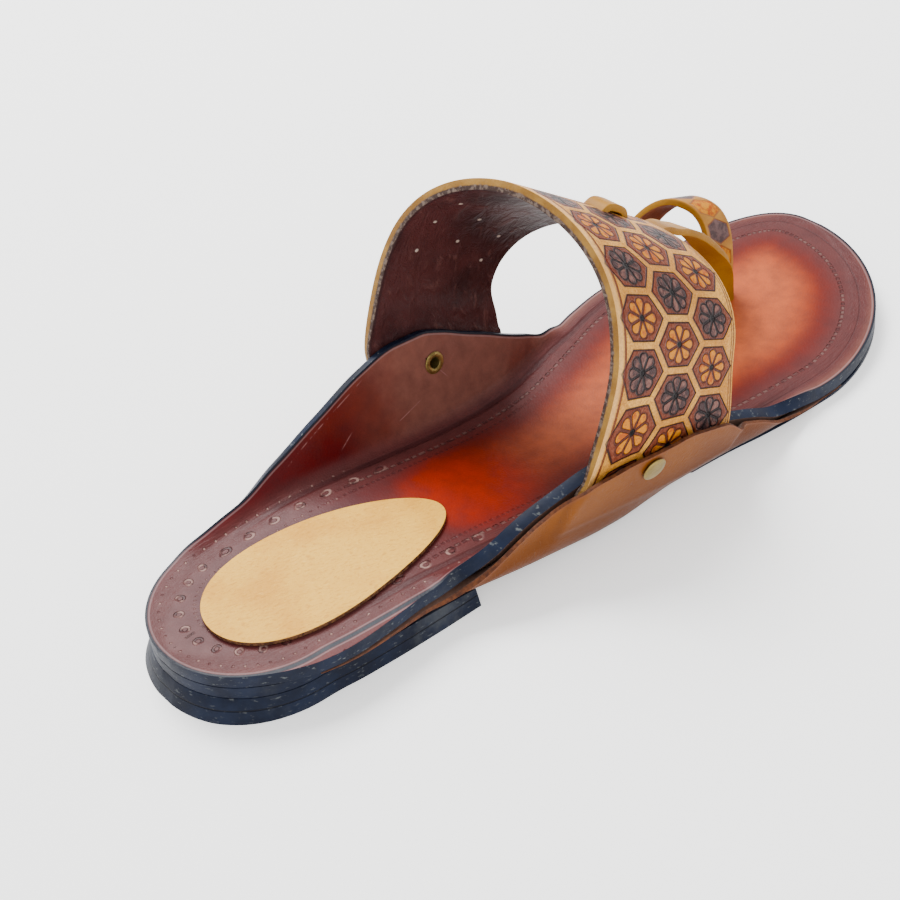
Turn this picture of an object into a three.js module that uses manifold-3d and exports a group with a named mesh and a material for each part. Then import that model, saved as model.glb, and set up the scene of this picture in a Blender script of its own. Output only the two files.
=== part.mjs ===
// A right-foot kolhapuri chappal: leather sole, folded wings, tooled instep strap and toe loop.
// Millimetres. +X is the outer (little toe) side, +Y the toe, +Z up, and the floor is z = 0.
import * as THREE from 'three';
import { mergeVertices } from 'three/addons/utils/BufferGeometryUtils.js';
import Module from 'manifold-3d';

const wasm = await Module();
wasm.setup();

// Whole shoe
const LENGTH = 281;
const BALL_WIDTH = 93;
const HEEL_HEIGHT = 15.4;
const TOE_SPRING = 3.6;
const GAP = 0.3;

// Sole layers
const TOP_SOLE = 4;
const OUTSOLE_FORE = 1.7;
const OUTSOLE_HEEL = 3.8;
const HEEL_LENGTH = 81;
const HEEL_BEVEL = 0.6;
const HEEL_FLARE = { side: 1.5, back: 3 };
const HEEL_ROUND = 31;

// Wings, the two margins of the top sole that fold up beside the foot
const FOLD_RADIUS = 4;
const FOLD_ANGLE = { lateral: THREE.MathUtils.degToRad(77), medial: THREE.MathUtils.degToRad(79) };
const WING_MARGIN = { lateral: 24.4, medial: 34.2 };
const FLAT_MARGIN = 6;
const FOLD_INSET = 4.5;
const WING_EDGE = { lateral: 3.9, medial: 2.3 };
const WING_SKIVE = 12;

// Ears, the tan leathers outside the wings that hold the strap ends
const EAR = 2.2;
const EAR_FOOT = 3.2;
const EAR_TAB = 5;
const EAR_CORNER = 1.3;
const LET_IN_EASE = { near: 7, far: 16 };
const POCKET_ROOM = 0.9;
const POCKET_EASE = { near: 4, far: 11 };
const POCKET_FOOT = 3.5;

// Instep strap
const STRAP = 3.4;
const STRAP_SKIVED = 2.4;
const STRAP_SKIVE = 9;
const STRAP_TIP = 1.5;
const STRAP_END = 11;
const STRAP_TUCK = 2;
const STRAP_HALF_SPAN = 44;
const STRAP_REAR_RISE = 73;
const STRAP_FRONT_RISE = 57;
const STRAP_UPRIGHT = 40;
const ACROSS_POWER = 1.08;
const RISE_POWER = 0.45;

// Toe loop and lace
const LOOP = 2.4;
const LOOP_WIDTH = 12.4;
const LOOP_SPAN = 33.5;
const LOOP_RISE = 32.2;
const LACE = 2.2;
const LACE_WIDTH = 8;
const STITCH = 11;
const LACE_TAIL = 5;

// Heel pad
const PAD = 1.2;
const PAD_LENGTH = 78;
const PAD_HALF_WIDTH = 19.5;
const PAD_CENTRE = { x: 6, y: 52.9 };
const PAD_TURN = THREE.MathUtils.degToRad(4);

// Rivets
const SHANK_RADIUS = 2.6;
const CAP_RADIUS = 3.9;
const FLANGE_RADIUS = 3.6;
const EYELET_RADIUS = 1.9;
const RIVET_HEAD = 0.6;

// Outline of the sole before its heel and toe are rounded: lengths are shares of LENGTH, and
// widths shares of BALL_WIDTH on each side of the line through the middle of the heel.
const OUTLINE = [
  { along: 0.0, medial: 0.317, lateral: 0.341 },
  { along: 0.105, medial: 0.317, lateral: 0.341 },
  { along: 0.15, medial: 0.326, lateral: 0.357 },
  { along: 0.205, medial: 0.327, lateral: 0.37 },
  { along: 0.255, medial: 0.318, lateral: 0.377 },
  { along: 0.305, medial: 0.307, lateral: 0.381 },
  { along: 0.36, medial: 0.298, lateral: 0.388 },
  { along: 0.41, medial: 0.294, lateral: 0.397 },
  { along: 0.465, medial: 0.301, lateral: 0.409 },
  { along: 0.52, medial: 0.322, lateral: 0.421 },
  { along: 0.57, medial: 0.358, lateral: 0.431 },
  { along: 0.625, medial: 0.408, lateral: 0.448 },
  { along: 0.68, medial: 0.457, lateral: 0.475 },
  { along: 0.735, medial: 0.482, lateral: 0.493 },
  { along: 0.79, medial: 0.486, lateral: 0.502 },
  { along: 1.0, medial: 0.486, lateral: 0.502 },
];
const HEEL_MIDDLE = 0.8;
const TOE_TIP = -0.159;
const TOE_ROUND = {
  medial: { from: 0.75, power: 2.6 },
  lateral: { from: 0.776, power: 1.91 },
};

// Each wing: how far its fold is closed, and its leather beyond the flat margin as a share.
const WINGS = {
  lateral: [
    { along: 0.04, fold: 0, reach: 0 },
    { along: 0.08, fold: 0, reach: 0.08 },
    { along: 0.1, fold: 0, reach: 0.155 },
    { along: 0.123, fold: 0, reach: 0.205 },
    { along: 0.15, fold: 0, reach: 0.175 },
    { along: 0.19, fold: 0, reach: 0.1 },
    { along: 0.235, fold: 0, reach: 0.015 },
    { along: 0.271, fold: 0.45, reach: 0 },
    { along: 0.3, fold: 0.75, reach: 0.09 },
    { along: 0.328, fold: 0.92, reach: 0.31 },
    { along: 0.36, fold: 1, reach: 0.5 },
    { along: 0.392, fold: 1, reach: 0.69 },
    { along: 0.424, fold: 1, reach: 0.87 },
    { along: 0.467, fold: 1, reach: 0.99 },
    { along: 0.52, fold: 1, reach: 0.95 },
    { along: 0.56, fold: 1, reach: 0.78 },
    { along: 0.606, fold: 1, reach: 0.54 },
    { along: 0.648, fold: 0.95, reach: 0.29 },
    { along: 0.695, fold: 0.65, reach: 0.02 },
    { along: 0.734, fold: 0.3, reach: 0 },
    { along: 0.765, fold: 0, reach: 0 },
  ],
  medial: [
    { along: 0.07, fold: 0, reach: 0 },
    { along: 0.118, fold: 0.3, reach: 0 },
    { along: 0.171, fold: 0.55, reach: 0.035 },
    { along: 0.228, fold: 0.8, reach: 0.21 },
    { along: 0.289, fold: 0.95, reach: 0.51 },
    { along: 0.349, fold: 1, reach: 0.83 },
    { along: 0.399, fold: 1, reach: 0.98 },
    { along: 0.431, fold: 1, reach: 0.985 },
    { along: 0.46, fold: 1, reach: 0.9 },
    { along: 0.492, fold: 1, reach: 0.735 },
    { along: 0.524, fold: 1, reach: 0.565 },
    { along: 0.556, fold: 0.99, reach: 0.36 },
    { along: 0.588, fold: 0.92, reach: 0.165 },
    { along: 0.62, fold: 0.6, reach: 0.01 },
    { along: 0.656, fold: 0, reach: 0 },
  ],
};

// How far each ear's top edge stands above the edge of its wing
const EAR_TOPS = {
  lateral: [
    { along: 0.36, rise: 0 },
    { along: 0.4, rise: 4.4 },
    { along: 0.44, rise: 3.1 },
    { along: 0.475, rise: 2.8 },
    { along: 0.51, rise: 3.3 },
    { along: 0.545, rise: 4.8 },
    { along: 0.585, rise: 5 },
    { along: 0.62, rise: 0 },
  ],
  medial: [
    { along: 0.3, rise: -3 },
    { along: 0.38, rise: -5.5 },
    { along: 0.5, rise: -5.5 },
    { along: 0.58, rise: -3 },
  ],
};

// Each ear's foot, the part turned under the top sole, as a share of EAR_FOOT, and how far the
// outsole is cut back beside it.
const FEET = {
  lateral: [
    { along: 0.1, foot: 0.1, cutback: 0 },
    { along: 0.15, foot: 0.35, cutback: 0 },
    { along: 0.212, foot: 0.7, cutback: 1 },
    { along: 0.256, foot: 1, cutback: 1 },
    { along: 0.413, foot: 1, cutback: 1 },
    { along: 0.463, foot: 0.85, cutback: 1 },
    { along: 0.505, foot: 0.5, cutback: 1 },
    { along: 0.54, foot: 0.28, cutback: 1 },
    { along: 0.58, foot: 0.28, cutback: 0 },
    { along: 0.73, foot: 0.28, cutback: 0 },
    { along: 0.795, foot: 0.14, cutback: 0 },
  ],
  medial: [
    { along: 0.107, foot: 0.1, cutback: 0 },
    { along: 0.142, foot: 0.4, cutback: 0 },
    { along: 0.185, foot: 0.7, cutback: 1 },
    { along: 0.235, foot: 1, cutback: 1 },
    { along: 0.385, foot: 1, cutback: 1 },
    { along: 0.434, foot: 0.85, cutback: 1 },
    { along: 0.477, foot: 0.5, cutback: 1 },
    { along: 0.515, foot: 0.28, cutback: 1 },
    { along: 0.555, foot: 0.28, cutback: 0 },
    { along: 0.66, foot: 0.28, cutback: 0 },
    { along: 0.74, foot: 0.14, cutback: 0 },
  ],
};

// The strap's two cut edges. Each is an arch in a plane that leans toward the toe as it rises.
const STRAP_EDGES = {
  rear: { along: 0.3857, turn: 0.2, lean: 0.475, middle: 8, skew: -0.13, base: 13, rise: STRAP_REAR_RISE },
  front: { along: 0.5747, turn: 0.26, lean: 0.5, middle: 3.8, skew: -0.05, base: 4.2, rise: STRAP_FRONT_RISE },
};

// The toe loop's front edge: across from its outer foot to its inner foot, and up.
const LOOP_ARCH = [
  { across: 0.0, up: 0.0 },
  { across: 0.005, up: 0.36 },
  { across: 0.035, up: 0.65 },
  { across: 0.09, up: 0.81 },
  { across: 0.18, up: 0.925 },
  { across: 0.31, up: 0.99 },
  { across: 0.46, up: 1.0 },
  { across: 0.62, up: 0.93 },
  { across: 0.78, up: 0.78 },
  { across: 0.9, up: 0.58 },
  { across: 0.975, up: 0.33 },
  { across: 1.0, up: 0.0 },
];
const LOOP_FOOT = { x: -9, along: 0.832 };
const LOOP_YAW = THREE.MathUtils.degToRad(25);
const LOOP_LEAN = THREE.MathUtils.degToRad(10);
const LOOP_SLOPE = THREE.MathUtils.degToRad(20);

// The lace beyond the strap's front edge: along is a share of LENGTH, and up is measured from the
// footbed. turn brings its width from across the foot (0) to along it (1), between the toes.
const LACE_ROUTE = [
  { along: 0.676, up: 52.3, turn: 0 },
  { along: 0.698, up: 48.1, turn: 0 },
  { along: 0.721, up: 43.8, turn: 0.03 },
  { along: 0.747, up: 37.3, turn: 0.1 },
  { along: 0.776, up: 27.3, turn: 0.25 },
  { along: 0.794, up: 19.6, turn: 0.45 },
  { along: 0.804, up: 12.3, turn: 0.75 },
  { along: 0.808, up: 6.2, turn: 0.95 },
  { along: 0.809, up: 1, turn: 1 },
  { along: 0.809, up: -2.9, turn: 1 },
];
const LACE_ROW = 0.47;
const LACE_ACROSS = 0.66;

const RIVETS = {
  lateral: { along: 0.489, margin: 22.3 },
  medial: { along: 0.44, margin: 22.5 },
};

const smooth = (from, to, value) => THREE.MathUtils.smoothstep(value, from, to);
const lerp = THREE.MathUtils.lerp;
const signOf = side => (side === 'lateral' ? 1 : -1);
const vec = (x, y, z) => new THREE.Vector3(x, y, z);

// A smooth line through one column of a table, flat beyond its ends, with no overshoot.
function follow(table, column) {
  const slopes = table.slice(1).map((row, k) =>
    (row[column] - table[k][column]) / (row.along - table[k].along));
  const tangents = table.map((row, k) => {
    if (k === 0 || k === table.length - 1) return 0;
    const before = slopes[k - 1];
    const after = slopes[k];
    return before * after <= 0 ? 0 : (2 * before * after) / (before + after);
  });
  return y => {
    const share = y / LENGTH;
    if (share <= table[0].along) return table[0][column];
    const k = table.findIndex(row => row.along >= share) - 1;
    if (k < 0) return table[table.length - 1][column];
    const span = table[k + 1].along - table[k].along;
    const t = (share - table[k].along) / span;
    const rise = (t * t * (3 - 2 * t)) * (table[k + 1][column] - table[k][column]);
    const bend = span * t * (1 - t) * ((1 - t) * tangents[k] - t * tangents[k + 1]);
    return table[k][column] + rise + bend;
  };
}

const outlineShare = { medial: follow(OUTLINE, 'medial'), lateral: follow(OUTLINE, 'lateral') };
const wingFold = { medial: follow(WINGS.medial, 'fold'), lateral: follow(WINGS.lateral, 'fold') };
const wingReach = { medial: follow(WINGS.medial, 'reach'), lateral: follow(WINGS.lateral, 'reach') };
const earTop = { medial: follow(EAR_TOPS.medial, 'rise'), lateral: follow(EAR_TOPS.lateral, 'rise') };
const earFoot = { medial: follow(FEET.medial, 'foot'), lateral: follow(FEET.lateral, 'foot') };
const cutback = { medial: follow(FEET.medial, 'cutback'), lateral: follow(FEET.lateral, 'cutback') };

// Sole sizes along the foot
const forefoot = TOP_SOLE + GAP + OUTSOLE_FORE;
const slopeStart = 0.195 * LENGTH;
const slopeEnd = 0.57 * LENGTH;
const springStart = 0.73 * LENGTH;

function footbed(y) {
  const drop = smooth(slopeStart, slopeEnd, y) * (HEEL_HEIGHT - forefoot);
  const spring = Math.max(0, (y - springStart) / (LENGTH - springStart));
  return HEEL_HEIGHT - drop + TOE_SPRING * spring * spring;
}

function outsoleThickness(y) {
  return lerp(OUTSOLE_HEEL, OUTSOLE_FORE, smooth(0.355 * LENGTH, 0.535 * LENGTH, y));
}

function outline(side, y) {
  const straight = signOf(side) * BALL_WIDTH * outlineShare[side](y);
  const toe = TOE_ROUND[side];
  const past = Math.max(0, (y / LENGTH - toe.from) / (1 - toe.from));
  const atToe = (1 - past ** toe.power) ** (1 / toe.power);
  const tip = TOE_TIP * BALL_WIDTH;
  const before = Math.max(0, 1 - y / HEEL_ROUND);
  const atHeel = Math.sqrt(1 - before * before);
  if (y < HEEL_ROUND) return HEEL_MIDDLE + (straight - HEEL_MIDDLE) * atHeel;
  return tip + (straight - tip) * atToe;
}

const soleWidth = y => outline('lateral', y) - outline('medial', y);

function margin(side, y) {
  const flat = Math.min(FLAT_MARGIN, 0.3 * soleWidth(y));
  return flat + wingReach[side](y) * (WING_MARGIN[side] - FLAT_MARGIN);
}

function foldLine(side, y) {
  const flat = Math.min(FLAT_MARGIN, 0.3 * soleWidth(y));
  const inset = lerp(flat, FOLD_INSET, wingFold[side](y));
  return outline(side, y) - signOf(side) * inset;
}

// A point of the top sole's margin: run is measured along its upper face from the fold line, and
// depth from that face toward its lower face and beyond.
function marginPoint(side, y, run, depth) {
  const sign = signOf(side);
  const angle = FOLD_ANGLE[side] * wingFold[side](y);
  const line = foldLine(side, y);
  const floor = footbed(y);
  if (run <= 0 || angle < 0.001) return vec(line + sign * run, y, floor - depth);
  const turned = Math.min(angle, run / FOLD_RADIUS);
  const straight = run - turned * FOLD_RADIUS;
  const across = (FOLD_RADIUS + depth) * Math.sin(turned) + straight * Math.cos(turned);
  const up = FOLD_RADIUS - (FOLD_RADIUS + depth) * Math.cos(turned) + straight * Math.sin(turned);
  return vec(line + sign * across, y, floor + up);
}

// A wing's wall, skived toward its edge
function wingWall(side, y, run) {
  const edge = margin(side, y);
  const share = smooth(edge - WING_SKIVE, edge, run) * wingFold[side](y);
  return lerp(TOP_SOLE, WING_EDGE[side], share);
}

// Stations along the foot, closer together where the heel and the toe are round.
function stations(from, to) {
  const list = [];
  const end = 0.15;
  for (const turn of [0, 0.14, 0.26, 0.4, 0.56, 0.76]) {
    list.push(Math.max(end, HEEL_ROUND * (1 - Math.cos(turn * Math.PI / 2))));
  }
  const straight = 28;
  const toe = 0.8 * LENGTH;
  for (let k = 0; k <= straight; k++) list.push(lerp(0.095 * LENGTH, toe, k / straight));
  for (const turn of [0.26, 0.42, 0.57, 0.7, 0.82, 0.92, 1]) {
    list.push(Math.min(LENGTH - end, toe + (LENGTH - toe) * Math.sin(turn * Math.PI / 2)));
  }
  const inside = list.filter(y => y > from + 1.5 && y < to - 1.5);
  return [from, ...inside, to];
}
const WHOLE = stations(0.15, LENGTH - 0.15);

// A closed body between two grids of points, rows by columns, that face each other.
function bodyBetween(upper, lower) {
  const rows = upper.length;
  const columns = upper[0].length;
  const points = [...upper.flat(), ...lower.flat()];
  const top = (r, c) => r * columns + c;
  const bottom = (r, c) => rows * columns + r * columns + c;
  const faces = [];
  const quad = (a, b, c, d) => faces.push(a, b, c, a, c, d);
  for (let r = 0; r < rows - 1; r++) {
    for (let c = 0; c < columns - 1; c++) {
      quad(top(r, c), top(r, c + 1), top(r + 1, c + 1), top(r + 1, c));
      quad(bottom(r, c), bottom(r + 1, c), bottom(r + 1, c + 1), bottom(r, c + 1));
    }
    quad(top(r, 0), top(r + 1, 0), bottom(r + 1, 0), bottom(r, 0));
    const last = columns - 1;
    quad(top(r, last), bottom(r, last), bottom(r + 1, last), top(r + 1, last));
  }
  for (let c = 0; c < columns - 1; c++) {
    quad(top(0, c), bottom(0, c), bottom(0, c + 1), top(0, c + 1));
    const end = rows - 1;
    quad(top(end, c), top(end, c + 1), bottom(end, c + 1), bottom(end, c));
  }
  return closedGeometry(points, faces);
}

function closedGeometry(points, faces) {
  const geometry = new THREE.BufferGeometry().setFromPoints(points);
  geometry.setIndex(faces);
  return volume(geometry) < 0 ? flipped(geometry) : geometry;
}

function volume(geometry) {
  const place = geometry.getAttribute('position');
  const index = geometry.getIndex();
  const [a, b, c] = [vec(0, 0, 0), vec(0, 0, 0), vec(0, 0, 0)];
  let sum = 0;
  for (let k = 0; k < index.count; k += 3) {
    a.fromBufferAttribute(place, index.getX(k));
    b.fromBufferAttribute(place, index.getX(k + 1));
    c.fromBufferAttribute(place, index.getX(k + 2));
    sum += a.dot(b.cross(c)) / 6;
  }
  return sum;
}

function flipped(geometry) {
  const index = geometry.getIndex();
  for (let k = 0; k < index.count; k += 3) {
    const second = index.getX(k + 1);
    index.setX(k + 1, index.getX(k + 2));
    index.setX(k + 2, second);
  }
  return geometry;
}

function solidOf(geometry) {
  const plain = geometry.clone();
  plain.deleteAttribute('normal');
  plain.deleteAttribute('uv');
  const merged = mergeVertices(plain, 1e-4);
  return new wasm.Manifold(new wasm.Mesh({
    numProp: 3,
    vertProperties: new Float32Array(merged.getAttribute('position').array),
    triVerts: new Uint32Array(merged.getIndex().array),
  }));
}

function cutFrom(geometry, cutters) {
  let solid = solidOf(geometry);
  for (const cutter of cutters) solid = solid.subtract(solidOf(cutter));
  const mesh = solid.getMesh();
  const result = new THREE.BufferGeometry();
  result.setAttribute('position', new THREE.BufferAttribute(mesh.vertProperties, 3));
  result.setIndex(new THREE.BufferAttribute(mesh.triVerts, 1));
  return result;
}

const spread = (count, from, to) =>
  Array.from({ length: count }, (unused, k) => lerp(from, to, k / (count - 1)));

// Runs across one margin, from the fold line to the wing's edge
function marginRuns(side, y) {
  const reach = margin(side, y);
  const round = Math.min(FOLD_RADIUS * FOLD_ANGLE[side], 0.7 * reach);
  return [...spread(4, 0, round), ...spread(5, round, reach).slice(1)];
}

// Top sole, one sheet with both wings
function topSole() {
  const grid = isUnder => WHOLE.map(y => {
    const half = side => marginRuns(side, y).map(run =>
      marginPoint(side, y, run, isUnder ? wingWall(side, y, run) : 0));
    const middle = spread(4, foldLine('medial', y), foldLine('lateral', y)).slice(1, -1);
    const flat = middle.map(x => vec(x, y, footbed(y) - (isUnder ? TOP_SOLE : 0)));
    return [...half('medial').reverse(), ...flat, ...half('lateral')];
  });
  return bodyBetween(grid(false), grid(true));
}

// Outsole, let in under each ear's foot and cut back at the waist
function outsole() {
  const edge = (side, y) => {
    const inset = FOLD_INSET + EAR_TAB + GAP;
    return outline(side, y) - signOf(side) * inset * cutback[side](y);
  };
  const letIn = (side, y) => {
    const table = FEET[side];
    const share = y / LENGTH;
    const before = (table[0].along - share) * LENGTH;
    const beyond = (share - table[table.length - 1].along) * LENGTH;
    const fade = smooth(LET_IN_EASE.near, LET_IN_EASE.far, Math.max(before, beyond));
    return (earFoot[side](y) * EAR_FOOT + GAP) * (1 - fade);
  };
  const section = (y, isTop) => {
    const under = footbed(y) - TOP_SOLE - GAP;
    const point = (x, side, pressed) => {
      const lowered = isTop ? pressed * letIn(side, y) : outsoleThickness(y);
      return vec(x, y, under - lowered);
    };
    const half = side => {
      const sign = signOf(side);
      const outer = edge(side, y);
      const foldInset = sign * (outline(side, y) - foldLine(side, y));
      const inset = Math.min(foldInset + EAR_TAB + GAP, 0.3 * soleWidth(y));
      const step = sign * Math.min(sign * outline(side, y) - inset, sign * outer - 0.5);
      return [point(outer, side, 1), point(step, side, 1), point(step - sign * 0.4, side, 0)];
    };
    const medial = half('medial');
    const lateral = half('lateral').reverse();
    const middle = spread(4, medial[2].x, lateral[0].x).slice(1, -1);
    return [...medial, ...middle.map(x => point(x, 'medial', 0)), ...lateral];
  };
  const ys = WHOLE;
  return bodyBetween(ys.map(y => section(y, true)), ys.map(y => section(y, false)));
}

// Heel block, flat on the floor, flared toward it, with a worn bevel round its lower edge
const HEEL_COLUMNS = 7;

function heelBlock() {
  const lastTread = HEEL_LENGTH - HEEL_BEVEL;
  const ys = [...WHOLE.filter(y => y < lastTread - 2 * HEEL_BEVEL), lastTread, HEEL_LENGTH];
  const topAt = y => footbed(y) - TOP_SOLE - outsoleThickness(y) - 2 * GAP;
  const upper = ys.map(y => spread(HEEL_COLUMNS, outline('medial', y), outline('lateral', y))
    .map(x => vec(x, y, topAt(y))));
  const rim = (side, y, tuck, height) => {
    const outward = HEEL_FLARE.side * Math.min(1, soleWidth(y) / HEEL_ROUND) - tuck;
    const behind = HEEL_FLARE.back * (1 - smooth(0, 1.5 * HEEL_ROUND, y));
    return vec(outline(side, y) + signOf(side) * outward, y - behind, height);
  };
  const lower = ys.map((y, k) => {
    const isEnd = k === 0 || k === ys.length - 1;
    const tuck = isEnd ? 0 : Math.min(HEEL_BEVEL, 0.2 * soleWidth(y));
    const height = isEnd ? HEEL_BEVEL : 0;
    const [medial, lateral] = ['medial', 'lateral'].map(side => rim(side, y, tuck, height));
    const tread = spread(HEEL_COLUMNS - 2, 0, 1).map(share => medial.clone().lerp(lateral, share));
    return [rim('medial', y, 0, HEEL_BEVEL), ...tread, rim('lateral', y, 0, HEEL_BEVEL)];
  });
  return bodyBetween(upper, lower);
}

// The strap's plane at one of its edges, or between them: y for a point's x and z
function strapPlane(v, x, z) {
  const height = x < 0 ? Math.max(z, STRAP_UPRIGHT) : z;
  const yAt = edge =>
    edge.along * LENGTH + edge.turn * (x - edge.middle) + edge.lean * (height - 2 * HEEL_HEIGHT);
  return lerp(yAt(STRAP_EDGES.rear), yAt(STRAP_EDGES.front), v);
}

function archPoint(edge, angle) {
  const cos = Math.cos(angle);
  const across = STRAP_HALF_SPAN * Math.sign(cos) * Math.abs(cos) ** ACROSS_POWER;
  const up = edge.rise * Math.sin(angle) ** RISE_POWER;
  const x = edge.middle + across + edge.skew * up;
  const z = footbed(edge.along * LENGTH) + edge.base + up;
  return vec(x, strapPlane(edge === STRAP_EDGES.rear ? 0 : 1, x, z), z);
}

// The wall of the strap's tucked end, thin at its tip
const tuckWall = share => lerp(STRAP_TIP, STRAP_SKIVED, share);
const tuckShare = (side, y, run) =>
  THREE.MathUtils.clamp((run - STRAP_END) / (margin(side, y) + STRAP_TUCK - STRAP_END), 0, 1);

// Where the strap lies on a wing's outer face: share goes from its tip to the wing's edge
function tuckedPoint(side, v, share) {
  let y = strapPlane(v, signOf(side) * STRAP_HALF_SPAN, 2 * HEEL_HEIGHT);
  let point = vec(0, 0, 0);
  for (let round = 0; round < 6; round++) {
    const run = lerp(STRAP_END, margin(side, y) + STRAP_TUCK, share);
    point = marginPoint(side, y, run, wingWall(side, y, run) + 2 * GAP + tuckWall(share));
    y = strapPlane(v, point.x, point.z);
  }
  return point;
}

function strapLine(v) {
  const tucked = side => spread(4, 0, 1).map(share => tuckedPoint(side, v, share));
  const arch = spread(17, 10, 170).map(degrees => {
    const angle = THREE.MathUtils.degToRad(degrees);
    return archPoint(STRAP_EDGES.rear, angle).lerp(archPoint(STRAP_EDGES.front, angle), v);
  });
  const points = [...tucked('lateral'), ...arch, ...tucked('medial').reverse()];
  return new THREE.CatmullRomCurve3(points, false, 'centripetal');
}

// The strap's outer face as rows along the arch and columns from its rear edge to its front edge
const STRAP_ROWS = 46;
const STRAP_COLUMNS = 5;
const strapLines = spread(STRAP_COLUMNS, 0, 1).map(v => strapLine(v));
const strapFace = spread(STRAP_ROWS, 0, 1).map(u => strapLines.map(line => line.getPoint(u)));

function strapNormal(row, column) {
  const along = strapFace[Math.min(row + 1, STRAP_ROWS - 1)][column].clone()
    .sub(strapFace[Math.max(row - 1, 0)][column]);
  const across = strapFace[row][Math.min(column + 1, STRAP_COLUMNS - 1)].clone()
    .sub(strapFace[row][Math.max(column - 1, 0)]);
  return across.cross(along).normalize();
}

// The strap's wall, skived thin where it enters a pocket
function strapWall(point) {
  const side = point.x > 0 ? 'lateral' : 'medial';
  const edge = marginPoint(side, point.y, margin(side, point.y), TOP_SOLE).z;
  const tip = marginPoint(side, point.y, STRAP_END, TOP_SOLE).z;
  const tucked = tuckWall(THREE.MathUtils.clamp((point.z - tip) / (edge - tip), 0, 1));
  return lerp(tucked, STRAP, smooth(1, STRAP_SKIVE, point.z - edge));
}

function instepStrap() {
  const inner = strapFace.map((row, r) => row.map((point, c) => {
    const normal = strapNormal(r, c);
    const outward = normal.dot(point.clone().sub(vec(0, point.y, 2 * HEEL_HEIGHT))) > 0 ? 1 : -1;
    return point.clone().addScaledVector(normal, -outward * strapWall(point));
  }));
  return bodyBetween(strapFace, inner);
}

// Ears
function pocketRoom(side, y, run) {
  const z = footbed(y) + run * Math.sin(FOLD_ANGLE[side]);
  const x = signOf(side) * STRAP_HALF_SPAN;
  const { near, far } = POCKET_EASE;
  const rear = strapPlane(0, x, z);
  const front = strapPlane(1, x, z);
  const along = smooth(rear - far, rear - near, y) * (1 - smooth(front + near, front + far, y));
  const upward = smooth(POCKET_FOOT, STRAP_END - POCKET_ROOM, run);
  return along * upward * (tuckWall(tuckShare(side, y, run)) + POCKET_ROOM);
}

function earPoint(side, y, run, isOuter) {
  const foot = earFoot[side](y) * EAR_FOOT;
  const fold = wingFold[side](y);
  const wall = lerp(foot, EAR, Math.min(1, 2 * fold));
  const corner = EAR_CORNER * earFoot[side](y) * fold * smooth(-1, 2.5, run) * (1 - smooth(3.5, 9, run));
  const inner = wingWall(side, y, run) + GAP + pocketRoom(side, y, run);
  const thickness = lerp(foot, wall, smooth(2, 9, run)) + corner;
  return marginPoint(side, y, run, isOuter ? inner + thickness : inner);
}

function ear(side) {
  const table = FEET[side];
  const ys = stations(table[0].along * LENGTH, table[table.length - 1].along * LENGTH);
  const runs = y => {
    const round = marginRuns(side, y).slice(0, 4);
    const top = margin(side, y) + earTop[side](y) * wingFold[side](y);
    const wall = [0.12, 0.34, 0.56, 0.78, 1].map(share => lerp(round[3], top, share));
    return [-EAR_TAB, -EAR_TAB / 2, ...round, ...wall];
  };
  const face = isOuter => ys.map(y => runs(y).map(run => earPoint(side, y, run, isOuter)));
  return bodyBetween(face(false), face(true));
}

// A flat strip along a path, with a width direction at each point
function strip(points, widths, width, thickness) {
  const face = offset => points.map((point, k) => {
    const ahead = points[Math.min(k + 1, points.length - 1)].clone();
    const travel = ahead.sub(points[Math.max(k - 1, 0)]).normalize();
    const across = widths[k].clone().addScaledVector(travel, -travel.dot(widths[k])).normalize();
    const normal = travel.clone().cross(across).normalize();
    return [-0.5, 0.5].map(end => point.clone()
      .addScaledVector(across, end * width).addScaledVector(normal, offset));
  });
  return bodyBetween(face(thickness / 2), face(-thickness / 2));
}

// Toe loop
const loopFoot = vec(LOOP_FOOT.x, LOOP_FOOT.along * LENGTH, footbed(LOOP_FOOT.along * LENGTH));
const loopAcross = vec(-Math.cos(LOOP_YAW), -Math.sin(LOOP_YAW), 0);
const loopWidth = vec(0, Math.cos(LOOP_SLOPE), -Math.sin(LOOP_SLOPE));

function loopPoint(across, up) {
  const ahead = up * Math.tan(LOOP_LEAN);
  return loopFoot.clone()
    .addScaledVector(loopAcross, across)
    .add(vec(-Math.sin(LOOP_YAW) * ahead, Math.cos(LOOP_YAW) * ahead, up));
}

function toeLoop() {
  const arch = LOOP_ARCH.map(row => loopPoint(row.across * LOOP_SPAN, row.up * LOOP_RISE));
  const sunk = -(TOP_SOLE - GAP);
  const outerEdge = new THREE.CatmullRomCurve3(arch, false, 'centripetal').getPoints(30);
  const level = point => vec(0, Math.cos(LOOP_SLOPE), 0).multiplyScalar(LOOP_WIDTH).negate().add(point);
  const rear = outerEdge.map(point => {
    const height = THREE.MathUtils.clamp((point.z - loopFoot.z) / (0.4 * LOOP_RISE), 0, 1);
    const sloped = point.clone().addScaledVector(loopWidth, -LOOP_WIDTH);
    return level(point).lerp(sloped, height);
  });
  const middle = loopPoint(0.45 * LOOP_SPAN, 0.45 * LOOP_RISE);
  const rows = outerEdge.map((point, k) => {
    const before = outerEdge[Math.max(k - 1, 0)];
    const travel = outerEdge[Math.min(k + 1, 30)].clone().sub(before);
    const inward = travel.cross(rear[k].clone().sub(point)).normalize();
    const turned = inward.dot(middle.clone().sub(point)) > 0 ? 1 : -1;
    inward.multiplyScalar(turned * LOOP);
    const outer = [point.clone(), rear[k].clone()];
    return { outer, inner: outer.map(p => p.clone().add(inward)) };
  });
  const feet = [rows[0], rows[rows.length - 1]].map(row => {
    const down = p => vec(p.x, p.y, footbed(p.y) + sunk);
    return { outer: row.outer.map(down), inner: row.inner.map(down) };
  });
  const all = [feet[0], ...rows, feet[1]];
  return bodyBetween(all.map(row => row.outer), all.map(row => row.inner));
}

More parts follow.
